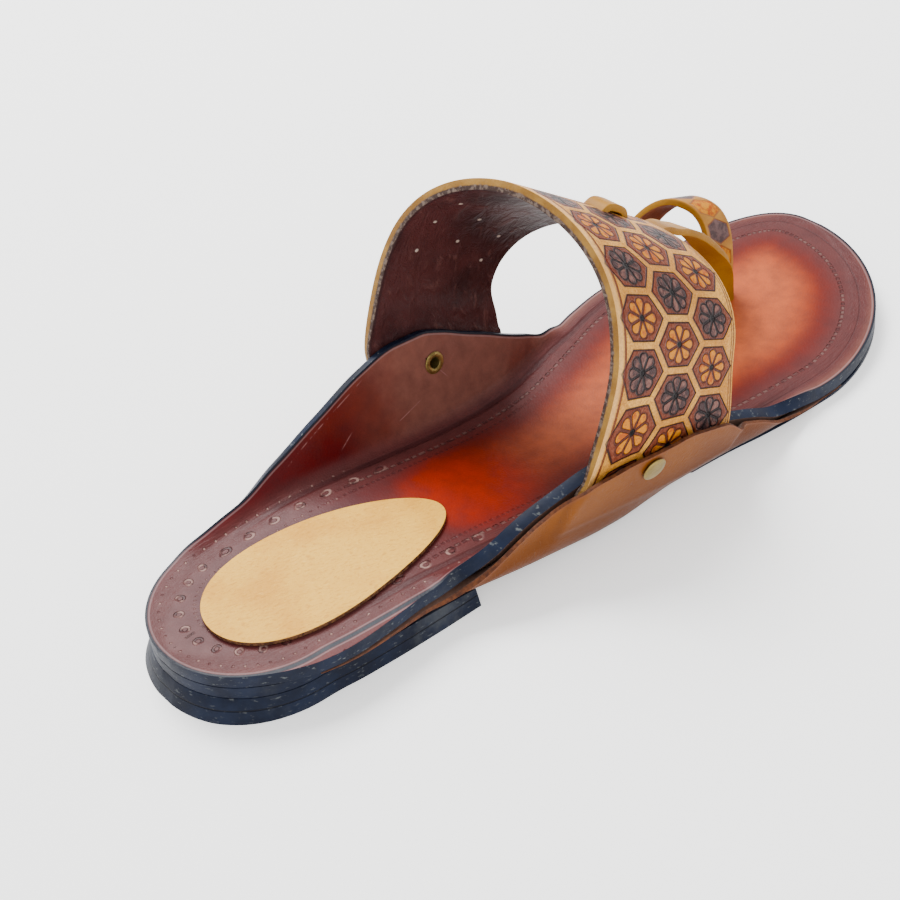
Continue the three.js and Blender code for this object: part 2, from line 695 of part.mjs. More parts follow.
// Lace: a tail under the strap, one stitch over its top, then forward and down between the toes
const laceRow = Math.round(LACE_ROW * (STRAP_ROWS - 1));
const laceRear = strapFace[laceRow][0];
const laceFront = strapFace[laceRow][STRAP_COLUMNS - 1];
const laceTravel = laceFront.clone().sub(laceRear).normalize();
const laceUp = (() => {
  const normal = strapNormal(laceRow, 2);
  return normal.z > 0 ? normal : normal.negate();
})();
const laceCentre = laceRear.clone().lerp(laceFront, LACE_ACROSS)
  .addScaledVector(laceUp, -STRAP / 2);
const laceSide = laceTravel.clone().cross(laceUp).normalize();
const laceSlits = [-STITCH / 2, STITCH / 2];

function toeLace() {
  const below = -(STRAP / 2 + GAP + LACE / 2 + 0.2);
  const above = STRAP / 2 + LACE / 2 + 2 * GAP;
  const overStrap = [
    [-STITCH / 2 - LACE_TAIL, below], [-STITCH / 2 - LACE_TAIL / 2, below], [-STITCH / 2, 0], [-STITCH / 3.4, above * 0.85],
    [0, above], [STITCH / 3.4, above * 0.85], [STITCH / 2, 0], [STITCH / 2 + 3, below],
    [STITCH / 2 + 7, below - 1.5],
  ].map(([along, up]) => laceCentre.clone()
    .addScaledVector(laceTravel, along).addScaledVector(laceUp, up));
  const start = overStrap[overStrap.length - 1];
  const foot = vec(LOOP_FOOT.x + 2 * GAP + LACE / 2, LACE_ROUTE[LACE_ROUTE.length - 1].along * LENGTH, 0);
  const route = LACE_ROUTE.map(row => {
    const y = row.along * LENGTH;
    const x = lerp(start.x, foot.x, THREE.MathUtils.clamp((y - start.y) / (foot.y - start.y), 0, 1));
    return vec(x, y, footbed(y) + row.up);
  });
  const curve = new THREE.CatmullRomCurve3([...overStrap, ...route], false, 'centripetal');
  const count = 56;
  const points = curve.getPoints(count);
  const flatPart = overStrap.length / (overStrap.length + route.length - 1);
  const turns = [...overStrap.map(() => 0), ...LACE_ROUTE.map(row => row.turn)];
  const widths = points.map((point, k) => {
    const place = (k / count) * (turns.length - 1);
    const low = Math.min(Math.floor(place), turns.length - 2);
    const turn = lerp(turns[low], turns[low + 1], place - low);
    const level = smooth(flatPart, flatPart + 0.2, k / count);
    const across = laceSide.clone().lerp(vec(1, 0.15, 0), level);
    const angle = turn * Math.PI / 2;
    return across.multiplyScalar(Math.cos(angle)).add(vec(0, Math.sin(angle), 0));
  });
  return strip(points, widths, LACE_WIDTH, LACE);
}

// Heel pad, an egg set on the footbed
function heelPad() {
  const half = PAD_LENGTH / 2;
  const widthAt = share => {
    const round = Math.sqrt(Math.max(0, 1 - share * share));
    return PAD_HALF_WIDTH * round * (1.02 - 0.26 * share + 0.05 * share * share);
  };
  const shares = spread(19, -1, 1).map(k => 0.998 * Math.sin(k * Math.PI / 2));
  const place = (a, b, height) => {
    const x = PAD_CENTRE.x + a * Math.sin(PAD_TURN) + b * Math.cos(PAD_TURN);
    const y = PAD_CENTRE.y + a * Math.cos(PAD_TURN) - b * Math.sin(PAD_TURN);
    return vec(x, y, footbed(y) + height);
  };
  const grid = height => shares.map(share =>
    spread(5, -widthAt(share), widthAt(share)).map(b => place(share * half, b, height)));
  return bodyBetween(grid(GAP + PAD), grid(GAP));
}

// Rivets: a cap outside the ear, a shank through ear, strap and wing, a flange round its open end
function rivetFrame(side) {
  const spot = RIVETS[side];
  const y = spot.along * LENGTH;
  const origin = marginPoint(side, y, spot.margin, 0);
  const { margin: run } = spot;
  const along = earPoint(side, y + CAP_RADIUS, run, true).sub(earPoint(side, y - CAP_RADIUS, run, true));
  const up = earPoint(side, y, run + CAP_RADIUS, true).sub(earPoint(side, y, run - CAP_RADIUS, true));
  const axis = along.cross(up).normalize();
  if (axis.x * signOf(side) < 0) axis.negate();
  const turn = new THREE.Quaternion().setFromUnitVectors(vec(0, 1, 0), axis);
  return { origin, turn };
}

const rivetLength = TOP_SOLE + GAP + STRAP_SKIVED + POCKET_ROOM + EAR;

function rivet() {
  const inside = -GAP;
  const outside = rivetLength + GAP;
  const profile = [
    [0, outside + RIVET_HEAD], [CAP_RADIUS * 0.7, outside + RIVET_HEAD * 0.9],
    [CAP_RADIUS, outside + RIVET_HEAD * 0.3], [CAP_RADIUS, outside], [SHANK_RADIUS, outside],
    [SHANK_RADIUS, inside], [FLANGE_RADIUS, inside], [FLANGE_RADIUS, inside - RIVET_HEAD * 0.4],
    [lerp(FLANGE_RADIUS, EYELET_RADIUS, 0.5), inside - RIVET_HEAD],
    [EYELET_RADIUS, inside - RIVET_HEAD * 0.6], [EYELET_RADIUS, outside - 1], [0, outside - 1],
  ].map(([radius, height]) => new THREE.Vector2(radius, height)).reverse();
  return new THREE.LatheGeometry(profile, 20);
}

function placed(geometry, frame) {
  const matrix = new THREE.Matrix4().compose(frame.origin, frame.turn, vec(1, 1, 1));
  return geometry.applyMatrix4(matrix);
}

function shankHole(side) {
  const hole = new THREE.CylinderGeometry(SHANK_RADIUS + GAP, SHANK_RADIUS + GAP, 4 * rivetLength, 16);
  return placed(hole, rivetFrame(side));
}

// Slits for the loop and the lace
function soleSlits() {
  const y = loopFoot.y;
  const depth = 4 * TOP_SOLE;
  const width = LOOP_WIDTH * Math.cos(LOOP_SLOPE) + 2 * GAP;
  const lateral = LOOP_FOOT.x + LACE + 3 * GAP;
  const medial = LOOP_FOOT.x - LOOP - GAP;
  const outer = new THREE.BoxGeometry(lateral - medial, width, depth);
  outer.translate((lateral + medial) / 2, y + GAP - width / 2, footbed(y));
  const innerFoot = loopPoint(LOOP_SPAN, 0);
  const inner = new THREE.BoxGeometry(LOOP + 4 * GAP, width + GAP, depth);
  inner.translate(innerFoot.x + LOOP / 2, innerFoot.y + GAP - width / 2, footbed(innerFoot.y));
  return [outer, inner];
}

function strapSlits() {
  const basis = new THREE.Matrix4().makeBasis(laceSide, laceTravel, laceUp);
  return laceSlits.map(along => {
    const slit = new THREE.BoxGeometry(LACE_WIDTH + 4 * GAP, 2.8 * LACE, 6 * STRAP);
    const place = laceCentre.clone().addScaledVector(laceTravel, along);
    return slit.applyMatrix4(basis.clone().setPosition(place));
  });
}

// Materials
const leather = (color, roughness) => new THREE.MeshStandardMaterial({ color, roughness });
const brass = () => new THREE.MeshStandardMaterial({ color: 0xb39a5c, roughness: 0.35, metalness: 1 });

const shoe = new THREE.Group();

function add(name, geometry, material) {
  geometry.computeVertexNormals();
  const mesh = new THREE.Mesh(geometry, material);
  mesh.name = name;
  shoe.add(mesh);
}

const sides = ['lateral', 'medial'];
add('outsole', outsole(), leather(0x1b1f2b, 0.6));
add('heel_block', heelBlock(), leather(0x171b27, 0.55));
add('top_sole', cutFrom(topSole(), [...sides.map(shankHole), ...soleSlits()]), leather(0x7a2f22, 0.35));
for (const side of sides) add(`ear_${side}`, cutFrom(ear(side), [shankHole(side)]), leather(0xb8703a, 0.5));
add('instep_strap', cutFrom(instepStrap(), [...sides.map(shankHole), ...strapSlits()]),
  leather(0xc9975f, 0.55));
add('toe_loop', toeLoop(), leather(0xc38a4c, 0.55));
add('toe_lace', toeLace(), leather(0xb9883f, 0.55));
add('heel_pad', heelPad(), leather(0xe0ad68, 0.6));
for (const side of sides) add(`rivet_${side}`, placed(rivet(), rivetFrame(side)), brass());

// The origin is the middle of the shoe's box, on the floor
const box = new THREE.Box3().setFromObject(shoe);
const middle = box.getCenter(vec(0, 0, 0));
shoe.position.set(-middle.x, -middle.y, 0);

export default shoe;
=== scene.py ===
# %% [markdown]
# A kolhapuri chappal is a flat leather sandal: a sole of stacked hides whose two side wings fold up,
# a wide tooled strap over the instep, a loop for the big toe and a lace between the two. The packed
# solids are loaded first, because every piece made here sits on them.

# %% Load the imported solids
import math
import bpy
import numpy as np
from mathutils import Matrix, Vector


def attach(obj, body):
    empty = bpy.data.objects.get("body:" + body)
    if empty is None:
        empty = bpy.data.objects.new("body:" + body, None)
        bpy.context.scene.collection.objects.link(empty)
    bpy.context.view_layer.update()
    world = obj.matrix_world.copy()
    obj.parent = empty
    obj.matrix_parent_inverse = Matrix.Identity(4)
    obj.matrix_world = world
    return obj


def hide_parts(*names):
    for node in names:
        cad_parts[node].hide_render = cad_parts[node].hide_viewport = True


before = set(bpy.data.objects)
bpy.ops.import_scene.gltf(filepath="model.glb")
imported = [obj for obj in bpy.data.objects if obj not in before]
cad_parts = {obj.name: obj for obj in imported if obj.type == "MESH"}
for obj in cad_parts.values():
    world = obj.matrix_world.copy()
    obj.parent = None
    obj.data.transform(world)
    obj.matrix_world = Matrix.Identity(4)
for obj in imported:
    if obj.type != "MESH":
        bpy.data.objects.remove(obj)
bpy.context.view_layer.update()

MM = 0.001
print("loaded", sorted(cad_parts))

# %% [markdown]
# The camera looks down at the shoe from behind its outer side and is rolled a little, as a hand-held
# shot is. It comes first, because each later finish is seen through it. Its place is worked out
# from an aim point over the insole, two angles, a distance and the roll.

# %% Camera
SHOE_ORIGIN = Vector((-4.0467, -139.0, 0.0)) * MM    # the middle of the heel's back edge, on the floor
AIM = SHOE_ORIGIN + Vector((-2.664, 105.567, 20.0)) * MM
CAMERA_TURN = math.radians(54.895)
CAMERA_RISE = math.radians(38.700)
CAMERA_ROLL = math.radians(-8.107)
CAMERA_DISTANCE = 518.207 * MM
SENSOR_WIDTH, FOCAL_LENGTH = 36.0, 70.205

back = Vector((math.sin(CAMERA_TURN) * math.cos(CAMERA_RISE),
               -math.cos(CAMERA_TURN) * math.cos(CAMERA_RISE), math.sin(CAMERA_RISE)))
level = Vector((math.cos(CAMERA_TURN), math.sin(CAMERA_TURN), 0.0))
upward = back.cross(level)
right = level * math.cos(CAMERA_ROLL) + upward * math.sin(CAMERA_ROLL)
up = upward * math.cos(CAMERA_ROLL) - level * math.sin(CAMERA_ROLL)

lens = bpy.data.cameras.new("camera")
lens.sensor_width = SENSOR_WIDTH
lens.lens = FOCAL_LENGTH
camera = bpy.data.objects.new("camera", lens)
bpy.context.collection.objects.link(camera)
camera.matrix_world = Matrix((right, up, back)).transposed().to_4x4()
camera.location = AIM + back * CAMERA_DISTANCE
bpy.context.scene.camera = camera
print("camera at", [round(c, 3) for c in camera.location])

# %% [markdown]
# A pale sweep of paper under soft light: a large lamp above on the left, a weaker one on the right,
# and a pale sky all round that keeps the shadow under the shoe soft.

# %% Floor and light
bpy.ops.mesh.primitive_grid_add(x_subdivisions=2, y_subdivisions=2, size=6.0, location=(0, 0, 0))
floor = bpy.context.object
floor.name = "floor"


def soft_lamp(name, place, size, power):
    """A square area lamp at place that faces the shoe."""
    light = bpy.data.lights.new(name, "AREA")
    light.shape = "SQUARE"
    light.size = size
    light.energy = power
    lamp = bpy.data.objects.new(name, light)
    bpy.context.collection.objects.link(lamp)
    lamp.location = place
    lamp.rotation_euler = (-Vector(place)).to_track_quat("-Z", "Y").to_euler()


soft_lamp("key_lamp", (-1.1, 0.3, 1.5), 1.0, 72.0)
soft_lamp("fill_lamp", (1.4, -0.9, 1.2), 1.4, 14.0)

sky = bpy.data.worlds.new("pale_sky")
sky.use_nodes = True
background = sky.node_tree.nodes["Background"].inputs
background["Color"].default_value = (1.0, 1.0, 1.0, 1.0)
background["Strength"].default_value = 1.2
bpy.context.scene.world = sky
print("two lamps and a pale sky")

# %% [markdown]
# Every finish is a small sum of patterns. Writing node sums one by one is long, so a Field stands for
# one number that varies over a surface, and plus, times and the like on it add Math nodes. A Recipe
# holds one material's nodes.

# %% Shader arithmetic


class Field:
    """A number that varies over a surface. Arithmetic on it adds Math nodes."""

    def __init__(self, recipe, socket):
        self.recipe = recipe
        self.socket = socket

    def math(self, operation, *others):
        return self.recipe.node("ShaderNodeMath", {"operation": operation},
                                dict(enumerate([self, *others])))

    def __add__(self, other): return self.math("ADD", other)
    def __radd__(self, other): return self.math("ADD", other)
    def __sub__(self, other): return self.math("SUBTRACT", other)
    def __rsub__(self, other): return (self * -1.0) + other
    def __mul__(self, other): return self.math("MULTIPLY", other)
    def __rmul__(self, other): return self.math("MULTIPLY", other)
    def __truediv__(self, other): return self.math("DIVIDE", other)
    def power(self, other): return self.math("POWER", other)
    def least(self, other): return self.math("MINIMUM", other)
    def most(self, other): return self.math("MAXIMUM", other)
    def size(self): return self.math("ABSOLUTE")
    def whole(self): return self.math("FLOOR")
    def part(self): return self.math("FRACT")
    def sine(self): return self.math("SINE")
    def cosine(self): return self.math("COSINE")

    def ramp(self, start, end):
        """0 below start, 1 above end, smooth between them; start may be the larger."""
        low, high, first, last = (start, end, 0.0, 1.0) if start < end else (end, start, 1.0, 0.0)
        return self.recipe.node("ShaderNodeMapRange", {"interpolation_type": "SMOOTHSTEP"},
                                {0: self, 1: low, 2: high, 3: first, 4: last})

    def band(self, middle, half_width, soft):
        """1 within half_width of middle, 0 further off, smooth over soft."""
        return (self - middle).size().ramp(half_width + soft, half_width)

    def away(self, other):
        """How far a place is from the origin, with self and other as its two coordinates."""
        return (self.power(2.0) + other.power(2.0)).power(0.5)

    def each(self, step, shift=0.0):
        """Distance past the middle of its own cell, in a row of cells that are step long."""
        return ((self / step + shift).part() - 0.5) * step


class Recipe:
    """One material's nodes. A colour is three numbers: red, green and blue."""

    def __init__(self, name):
        self.material = bpy.data.materials.new(name)
        self.material.use_nodes = True
        self.tree = self.material.node_tree
        self.tree.nodes.clear()
        self.place = self.node("ShaderNodeTexCoord", {}, {}, "Object")

    def node(self, kind, settings, inputs, output=0):
        node = self.tree.nodes.new(kind)
        for name, value in settings.items():
            setattr(node, name, value)
        for name, value in inputs.items():
            if isinstance(value, Field):
                self.tree.links.new(value.socket, node.inputs[name])
            else:
                is_colour = isinstance(value, tuple)
                node.inputs[name].default_value = (*value, 1.0) if is_colour else value
        return Field(self, node.outputs[output])

    def attribute(self, name, output="Fac"):
        return self.node("ShaderNodeAttribute", {"attribute_name": name}, {}, output)

    def parts(self, vector):
        split = self.node("ShaderNodeSeparateXYZ", {}, {0: vector})
        outputs = split.socket.node.outputs
        return [Field(self, outputs[i]) for i in range(3)]

    def vector(self, x, y, z=0.0):
        return self.node("ShaderNodeCombineXYZ", {}, {0: x, 1: y, 2: z})

    def noise(self, scale, detail=3.0, rough=0.55, place=None, warp=0.0):
        """Cloudy noise of scale patches a metre, from about 0.25 to 0.75."""
        return self.node("ShaderNodeTexNoise", {"noise_dimensions": "3D"},
                         {"Vector": place or self.place, "Scale": scale, "Detail": detail,
                          "Roughness": rough, "Distortion": warp})

    def cells(self, scale, feature="F1", place=None, output="Distance"):
        return self.node("ShaderNodeTexVoronoi", {"feature": feature},
                         {"Vector": place or self.place, "Scale": scale}, output)

    def mix(self, share, first, second):
        """The first colour where share is 0 and the second where it is 1."""
        inputs = {0: share, 6: first, 7: second}
        return self.node("ShaderNodeMix", {"data_type": "RGBA"}, inputs, 2)

    def finish(self, colour, rough, height=None, depth=0.001, coat=0.0, coat_rough=0.2,
               metallic=0.0, shine=0.5, glow=0.0):
        """The surface's shader. height is a bump of that depth in metres."""
        inputs = {"Base Color": colour, "Roughness": rough, "Metallic": metallic,
                  "Coat Weight": coat, "Coat Roughness": coat_rough,
                  "Specular IOR Level": shine, "Emission Color": (1.0, 1.0, 1.0),
                  "Emission Strength": glow}
        if height is not None:
            inputs["Normal"] = self.node("ShaderNodeBump", {}, {"Strength": 1.0, "Distance": depth,
                                                                "Height": height})
        shader = self.node("ShaderNodeBsdfPrincipled", {}, inputs)
        output = self.tree.nodes.new("ShaderNodeOutputMaterial")
        self.tree.links.new(shader.socket, output.inputs["Surface"])
        return self.material


print("Field and Recipe are ready")

# %% [markdown]
# Before any leather can be shaped, its own sizes are needed. These are the sizes, tables and curves
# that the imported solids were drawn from, in millimetres, measured from the middle of the heel's back
# edge on the floor: +X is the little toe's side and +Y the toe. Every sheet below is laid on them, so
# each piece sits exactly where its solid is.

# %% Sizes
LENGTH = 281.0
BALL_WIDTH = 93.0
HEEL_HEIGHT = 15.4
TOE_SPRING = 3.6
GAP = 0.3
TOP_SOLE = 4.0
OUTSOLE_FORE, OUTSOLE_HEEL = 1.7, 3.8
HEEL_LENGTH, HEEL_ROUND = 81.0, 31.0
HEEL_FLARE_SIDE, HEEL_FLARE_BACK = 1.5, 3.0
DROP_START, DROP_END, SPRING_START = 0.195, 0.57, 0.73    # shares of the length
THIN_START, THIN_END = 0.355, 0.535
MARGIN_CAP = 0.3    # the widest flat margin, as a share of the sole's width
FOLD_RADIUS = 4.0
FOLD_ANGLE = {"lateral": math.radians(77), "medial": math.radians(79)}
WING_MARGIN = {"lateral": 24.4, "medial": 34.2}
FLAT_MARGIN, FOLD_INSET = 6.0, 4.5
WING_EDGE = {"lateral": 3.9, "medial": 2.3}
WING_SKIVE = 12.0
EAR, EAR_FOOT, EAR_TAB, EAR_CORNER = 2.2, 3.2, 5.0, 1.3
POCKET_ROOM, POCKET_NEAR, POCKET_FAR, POCKET_FOOT = 0.9, 4.0, 11.0, 3.5
STRAP, STRAP_SKIVED, STRAP_SKIVE, STRAP_TIP = 3.4, 2.4, 9.0, 1.5
STRAP_END, STRAP_TUCK, STRAP_HALF_SPAN, STRAP_UPRIGHT = 11.0, 2.0, 44.0, 40.0
ACROSS_POWER, RISE_POWER = 1.08, 0.45

SIDES = ("medial", "lateral")
SIGN = {"medial": -1.0, "lateral": 1.0}
print("a shoe", LENGTH, "by", BALL_WIDTH, "mm")

# %% Tables of the outline, the wings and the ears
# share of the length, then half widths as shares of the ball's width
OUTLINE = [
    (0.0, 0.317, 0.341), (0.105, 0.317, 0.341), (0.15, 0.326, 0.357), (0.205, 0.327, 0.37),
    (0.255, 0.318, 0.377), (0.305, 0.307, 0.381), (0.36, 0.298, 0.388), (0.41, 0.294, 0.397),
    (0.465, 0.301, 0.409), (0.52, 0.322, 0.421), (0.57, 0.358, 0.431), (0.625, 0.408, 0.448),
    (0.68, 0.457, 0.475), (0.735, 0.482, 0.493), (0.79, 0.486, 0.502), (1.0, 0.486, 0.502),
]
HEEL_MIDDLE = 0.8
TOE_TIP = -0.159
TOE_ROUND = {"medial": (0.75, 2.6), "lateral": (0.776, 1.91)}

# share of the length, how far the fold is closed, leather beyond the flat margin
WINGS = {
    "lateral": [
        (0.04, 0, 0), (0.08, 0, 0.08), (0.1, 0, 0.155), (0.123, 0, 0.205), (0.15, 0, 0.175),
        (0.19, 0, 0.1), (0.235, 0, 0.015), (0.271, 0.45, 0), (0.3, 0.75, 0.09), (0.328, 0.92, 0.31),
        (0.36, 1, 0.5), (0.392, 1, 0.69), (0.424, 1, 0.87), (0.467, 1, 0.99), (0.52, 1, 0.95),
        (0.56, 1, 0.78), (0.606, 1, 0.54), (0.648, 0.95, 0.29), (0.695, 0.65, 0.02),
        (0.734, 0.3, 0), (0.765, 0, 0),
    ],
    "medial": [
        (0.07, 0, 0), (0.118, 0.3, 0), (0.171, 0.55, 0.035), (0.228, 0.8, 0.21), (0.289, 0.95, 0.51),
        (0.349, 1, 0.83), (0.399, 1, 0.98), (0.431, 1, 0.985), (0.46, 1, 0.9), (0.492, 1, 0.735),
        (0.524, 1, 0.565), (0.556, 0.99, 0.36), (0.588, 0.92, 0.165), (0.62, 0.6, 0.01), (0.656, 0, 0),
    ],
}

# share of the length, how far the ear's top stands above the wing's edge
EAR_TOPS = {
    "lateral": [(0.36, 0), (0.4, 4.4), (0.44, 3.1), (0.475, 2.8), (0.51, 3.3), (0.545, 4.8),
                (0.585, 5), (0.62, 0)],
    "medial": [(0.3, -3), (0.38, -5.5), (0.5, -5.5), (0.58, -3)],
}

# share of the length, thickness of the ear's foot as a share, how far the outsole is cut back
FEET = {
    "lateral": [(0.1, 0.1, 0), (0.15, 0.35, 0), (0.212, 0.7, 1), (0.256, 1, 1), (0.413, 1, 1),
                (0.463, 0.85, 1), (0.505, 0.5, 1), (0.54, 0.28, 1), (0.58, 0.28, 0), (0.73, 0.28, 0),
                (0.795, 0.14, 0)],
    "medial": [(0.107, 0.1, 0), (0.142, 0.4, 0), (0.185, 0.7, 1), (0.235, 1, 1), (0.385, 1, 1),
               (0.434, 0.85, 1), (0.477, 0.5, 1), (0.515, 0.28, 1), (0.555, 0.28, 0), (0.66, 0.28, 0),
               (0.74, 0.14, 0)],
}

# the strap's two cut edges: place along the shoe, turn, lean, middle, skew, base and rise
REAR_EDGE = dict(along=0.3857, turn=0.2, lean=0.475, middle=8.0, skew=-0.13, base=13.0, rise=73.0)
FRONT_EDGE = dict(along=0.5747, turn=0.26, lean=0.5, middle=3.8, skew=-0.05, base=4.2, rise=57.0)
print("outline of", len(OUTLINE), "stations, wings of", [len(WINGS[side]) for side in SIDES])


# %% Smooth curves through the tables
def clip(value):
    return min(1.0, max(0.0, value))


def smooth(start, end, value):
    share = clip((value - start) / (end - start))
    return share * share * (3 - 2 * share)


def lerp(first, second, share):
    return first + (second - first) * share


def follow(table, column):
    """A smooth line through one column, flat beyond its ends, with no overshoot."""
    alongs = [row[0] for row in table]
    values = [row[column] for row in table]
    slopes = [(values[k + 1] - values[k]) / (alongs[k + 1] - alongs[k]) for k in range(len(table) - 1)]
    tangents = [0.0] * len(table)
    for k in range(1, len(table) - 1):
        before, after = slopes[k - 1], slopes[k]
        if before * after > 0:
            tangents[k] = 2 * before * after / (before + after)

    def at(y):
        share = y / LENGTH
        if share <= alongs[0]:
            return values[0]
        if share >= alongs[-1]:
            return values[-1]
        k = next(i for i, along in enumerate(alongs) if along >= share) - 1
        span = alongs[k + 1] - alongs[k]
        t = (share - alongs[k]) / span
        rise = t * t * (3 - 2 * t) * (values[k + 1] - values[k])
        bend = span * t * (1 - t) * ((1 - t) * tangents[k] - t * tangents[k + 1])
        return values[k] + rise + bend

    return at


half_width = {side: follow(OUTLINE, 1 + k) for k, side in enumerate(SIDES)}
wing_fold = {side: follow(WINGS[side], 1) for side in SIDES}
wing_reach = {side: follow(WINGS[side], 2) for side in SIDES}
ear_top = {side: follow(EAR_TOPS[side], 1) for side in SIDES}
ear_foot = {side: follow(FEET[side], 1) for side in SIDES}
cut_back = {side: follow(FEET[side], 2) for side in SIDES}
print("half widths at the ball", [round(half_width[side](0.7 * LENGTH), 3) for side in SIDES])


# %% The sole's surfaces
def footbed(y):
    forefoot = TOP_SOLE + GAP + OUTSOLE_FORE
    drop = smooth(DROP_START * LENGTH, DROP_END * LENGTH, y) * (HEEL_HEIGHT - forefoot)
    start = SPRING_START * LENGTH
    spring = max(0.0, (y - start) / (LENGTH - start))
    return HEEL_HEIGHT - drop + TOE_SPRING * spring * spring


def outsole_thickness(y):
    return lerp(OUTSOLE_HEEL, OUTSOLE_FORE, smooth(THIN_START * LENGTH, THIN_END * LENGTH, y))


def outline(side, y):
    straight = SIGN[side] * BALL_WIDTH * half_width[side](y)
    if y < HEEL_ROUND:
        before = 1 - y / HEEL_ROUND
        return HEEL_MIDDLE + (straight - HEEL_MIDDLE) * math.sqrt(max(0.0, 1 - before * before))
    start, power = TOE_ROUND[side]
    past = max(0.0, (y / LENGTH - start) / (1 - start))
    tip = TOE_TIP * BALL_WIDTH
    return tip + (straight - tip) * max(0.0, 1 - past ** power) ** (1 / power)


def sole_width(y):
    return outline("lateral", y) - outline("medial", y)


def flat_margin(y):
    return min(FLAT_MARGIN, MARGIN_CAP * sole_width(y))


def margin(side, y):
    return flat_margin(y) + wing_reach[side](y) * (WING_MARGIN[side] - FLAT_MARGIN)


def fold_line(side, y):
    return outline(side, y) - SIGN[side] * lerp(flat_margin(y), FOLD_INSET, wing_fold[side](y))


def margin_point(side, y, run, depth):
    """A point of the folded margin: run from the fold line, depth below the upper face."""
    sign, angle = SIGN[side], FOLD_ANGLE[side] * wing_fold[side](y)
    line, floor = fold_line(side, y), footbed(y)
    if run <= 0 or angle < 0.001:
        return Vector((line + sign * run, y, floor - depth))
    turned = min(angle, run / FOLD_RADIUS)
    straight = run - turned * FOLD_RADIUS
    across = (FOLD_RADIUS + depth) * math.sin(turned) + straight * math.cos(turned)
    rise = FOLD_RADIUS - (FOLD_RADIUS + depth) * math.cos(turned) + straight * math.sin(turned)
    return Vector((line + sign * across, y, floor + rise))


def wing_wall(side, y, run):
    edge = margin(side, y)
    share = smooth(edge - WING_SKIVE, edge, run) * wing_fold[side](y)
    return lerp(TOP_SOLE, WING_EDGE[side], share)


print("footbed at", HEEL_HEIGHT, "mm on the heel and", round(footbed(0.6 * LENGTH), 1), "under the ball")

# %% The strap's surface
def strap_plane(v, x, z):
    height = max(z, STRAP_UPRIGHT) if x < 0 else z
    ys = [e["along"] * LENGTH + e["turn"] * (x - e["middle"]) + e["lean"] * (height - 2 * HEEL_HEIGHT)
          for e in (REAR_EDGE, FRONT_EDGE)]
    return lerp(ys[0], ys[1], v)


def arch_point(edge, angle, v):
    cos = math.cos(angle)
    across = STRAP_HALF_SPAN * math.copysign(abs(cos) ** ACROSS_POWER, cos)
    rise = edge["rise"] * math.sin(angle) ** RISE_POWER
    x = edge["middle"] + across + edge["skew"] * rise
    z = footbed(edge["along"] * LENGTH) + edge["base"] + rise
    return Vector((x, strap_plane(v, x, z), z))


def tuck_wall(share):
    return lerp(STRAP_TIP, STRAP_SKIVED, share)


def tucked_point(side, v, share):
    """Where the strap lies outside a wing; share goes from its tip to the wing's edge."""
    y = strap_plane(v, SIGN[side] * STRAP_HALF_SPAN, 2 * HEEL_HEIGHT)
    for _ in range(6):
        run = lerp(STRAP_END, margin(side, y) + STRAP_TUCK, share)
        point = margin_point(side, y, run, wing_wall(side, y, run) + 2 * GAP + tuck_wall(share))
        y = strap_plane(v, point.x, point.z)
    return point


def spread(count, first, last):
    return [lerp(first, last, k / (count - 1)) for k in range(count)]


def thread(points, count):
    """count points evenly along the centripetal Catmull-Rom curve through points, by index."""
    found = []
    for k in range(count):
        place = k / (count - 1) * (len(points) - 1)
        i = min(int(place), len(points) - 2)
        t = place - i
        p1, p2 = points[i], points[i + 1]
        p0 = points[i - 1] if i > 0 else p1 * 2 - p2
        p3 = points[i + 2] if i + 2 < len(points) else p2 * 2 - p1
        d0, d1, d2 = [max(1e-4, (b - a).length) ** 0.5 for a, b in ((p0, p1), (p1, p2), (p2, p3))]
        t1 = ((p1 - p0) / d0 - (p2 - p0) / (d0 + d1) + (p2 - p1) / d1) * d1
        t2 = ((p2 - p1) / d1 - (p3 - p1) / (d1 + d2) + (p3 - p2) / d2) * d1
        c2 = p1 * -3 + p2 * 3 - t1 * 2 - t2
        c3 = p1 * 2 - p2 * 2 + t1 + t2
        found.append(p1 + t1 * t + c2 * (t * t) + c3 * (t * t * t))
    return found


def strap_line(v, count):
    """The strap's outer face along its line v, from its lateral tip to its medial tip."""
    arch = [arch_point(REAR_EDGE, math.radians(a), 0).lerp(arch_point(FRONT_EDGE, math.radians(a), 1), v)
            for a in spread(17, 10, 170)]
    tucked = {side: [tucked_point(side, v, share) for share in spread(4, 0, 1)] for side in SIDES}
    return thread(tucked["lateral"] + arch + tucked["medial"][::-1], count)


def strap_wall(point):
    side = "lateral" if point.x > 0 else "medial"
    edge = margin_point(side, point.y, margin(side, point.y), TOP_SOLE).z
    tip = margin_point(side, point.y, STRAP_END, TOP_SOLE).z
    tucked = tuck_wall(clip((point.z - tip) / (edge - tip)))
    return lerp(tucked, STRAP, smooth(1, STRAP_SKIVE, point.z - edge))


print("strap line of", len(strap_line(0.5, 60)), "points")

# %% The ears' surfaces
def pocket_room(side, y, run):
    """How far the ear stands off its wing to let the strap's end in."""
    z = footbed(y) + run * math.sin(FOLD_ANGLE[side])
    x = SIGN[side] * STRAP_HALF_SPAN
    rear, front = strap_plane(0, x, z), strap_plane(1, x, z)
    along = smooth(rear - POCKET_FAR, rear - POCKET_NEAR, y)
    along *= 1 - smooth(front + POCKET_NEAR, front + POCKET_FAR, y)
    upward = smooth(POCKET_FOOT, STRAP_END - POCKET_ROOM, run)
    share = (run - STRAP_END) / (margin(side, y) + STRAP_TUCK - STRAP_END)
    return along * upward * (tuck_wall(clip(share)) + POCKET_ROOM)


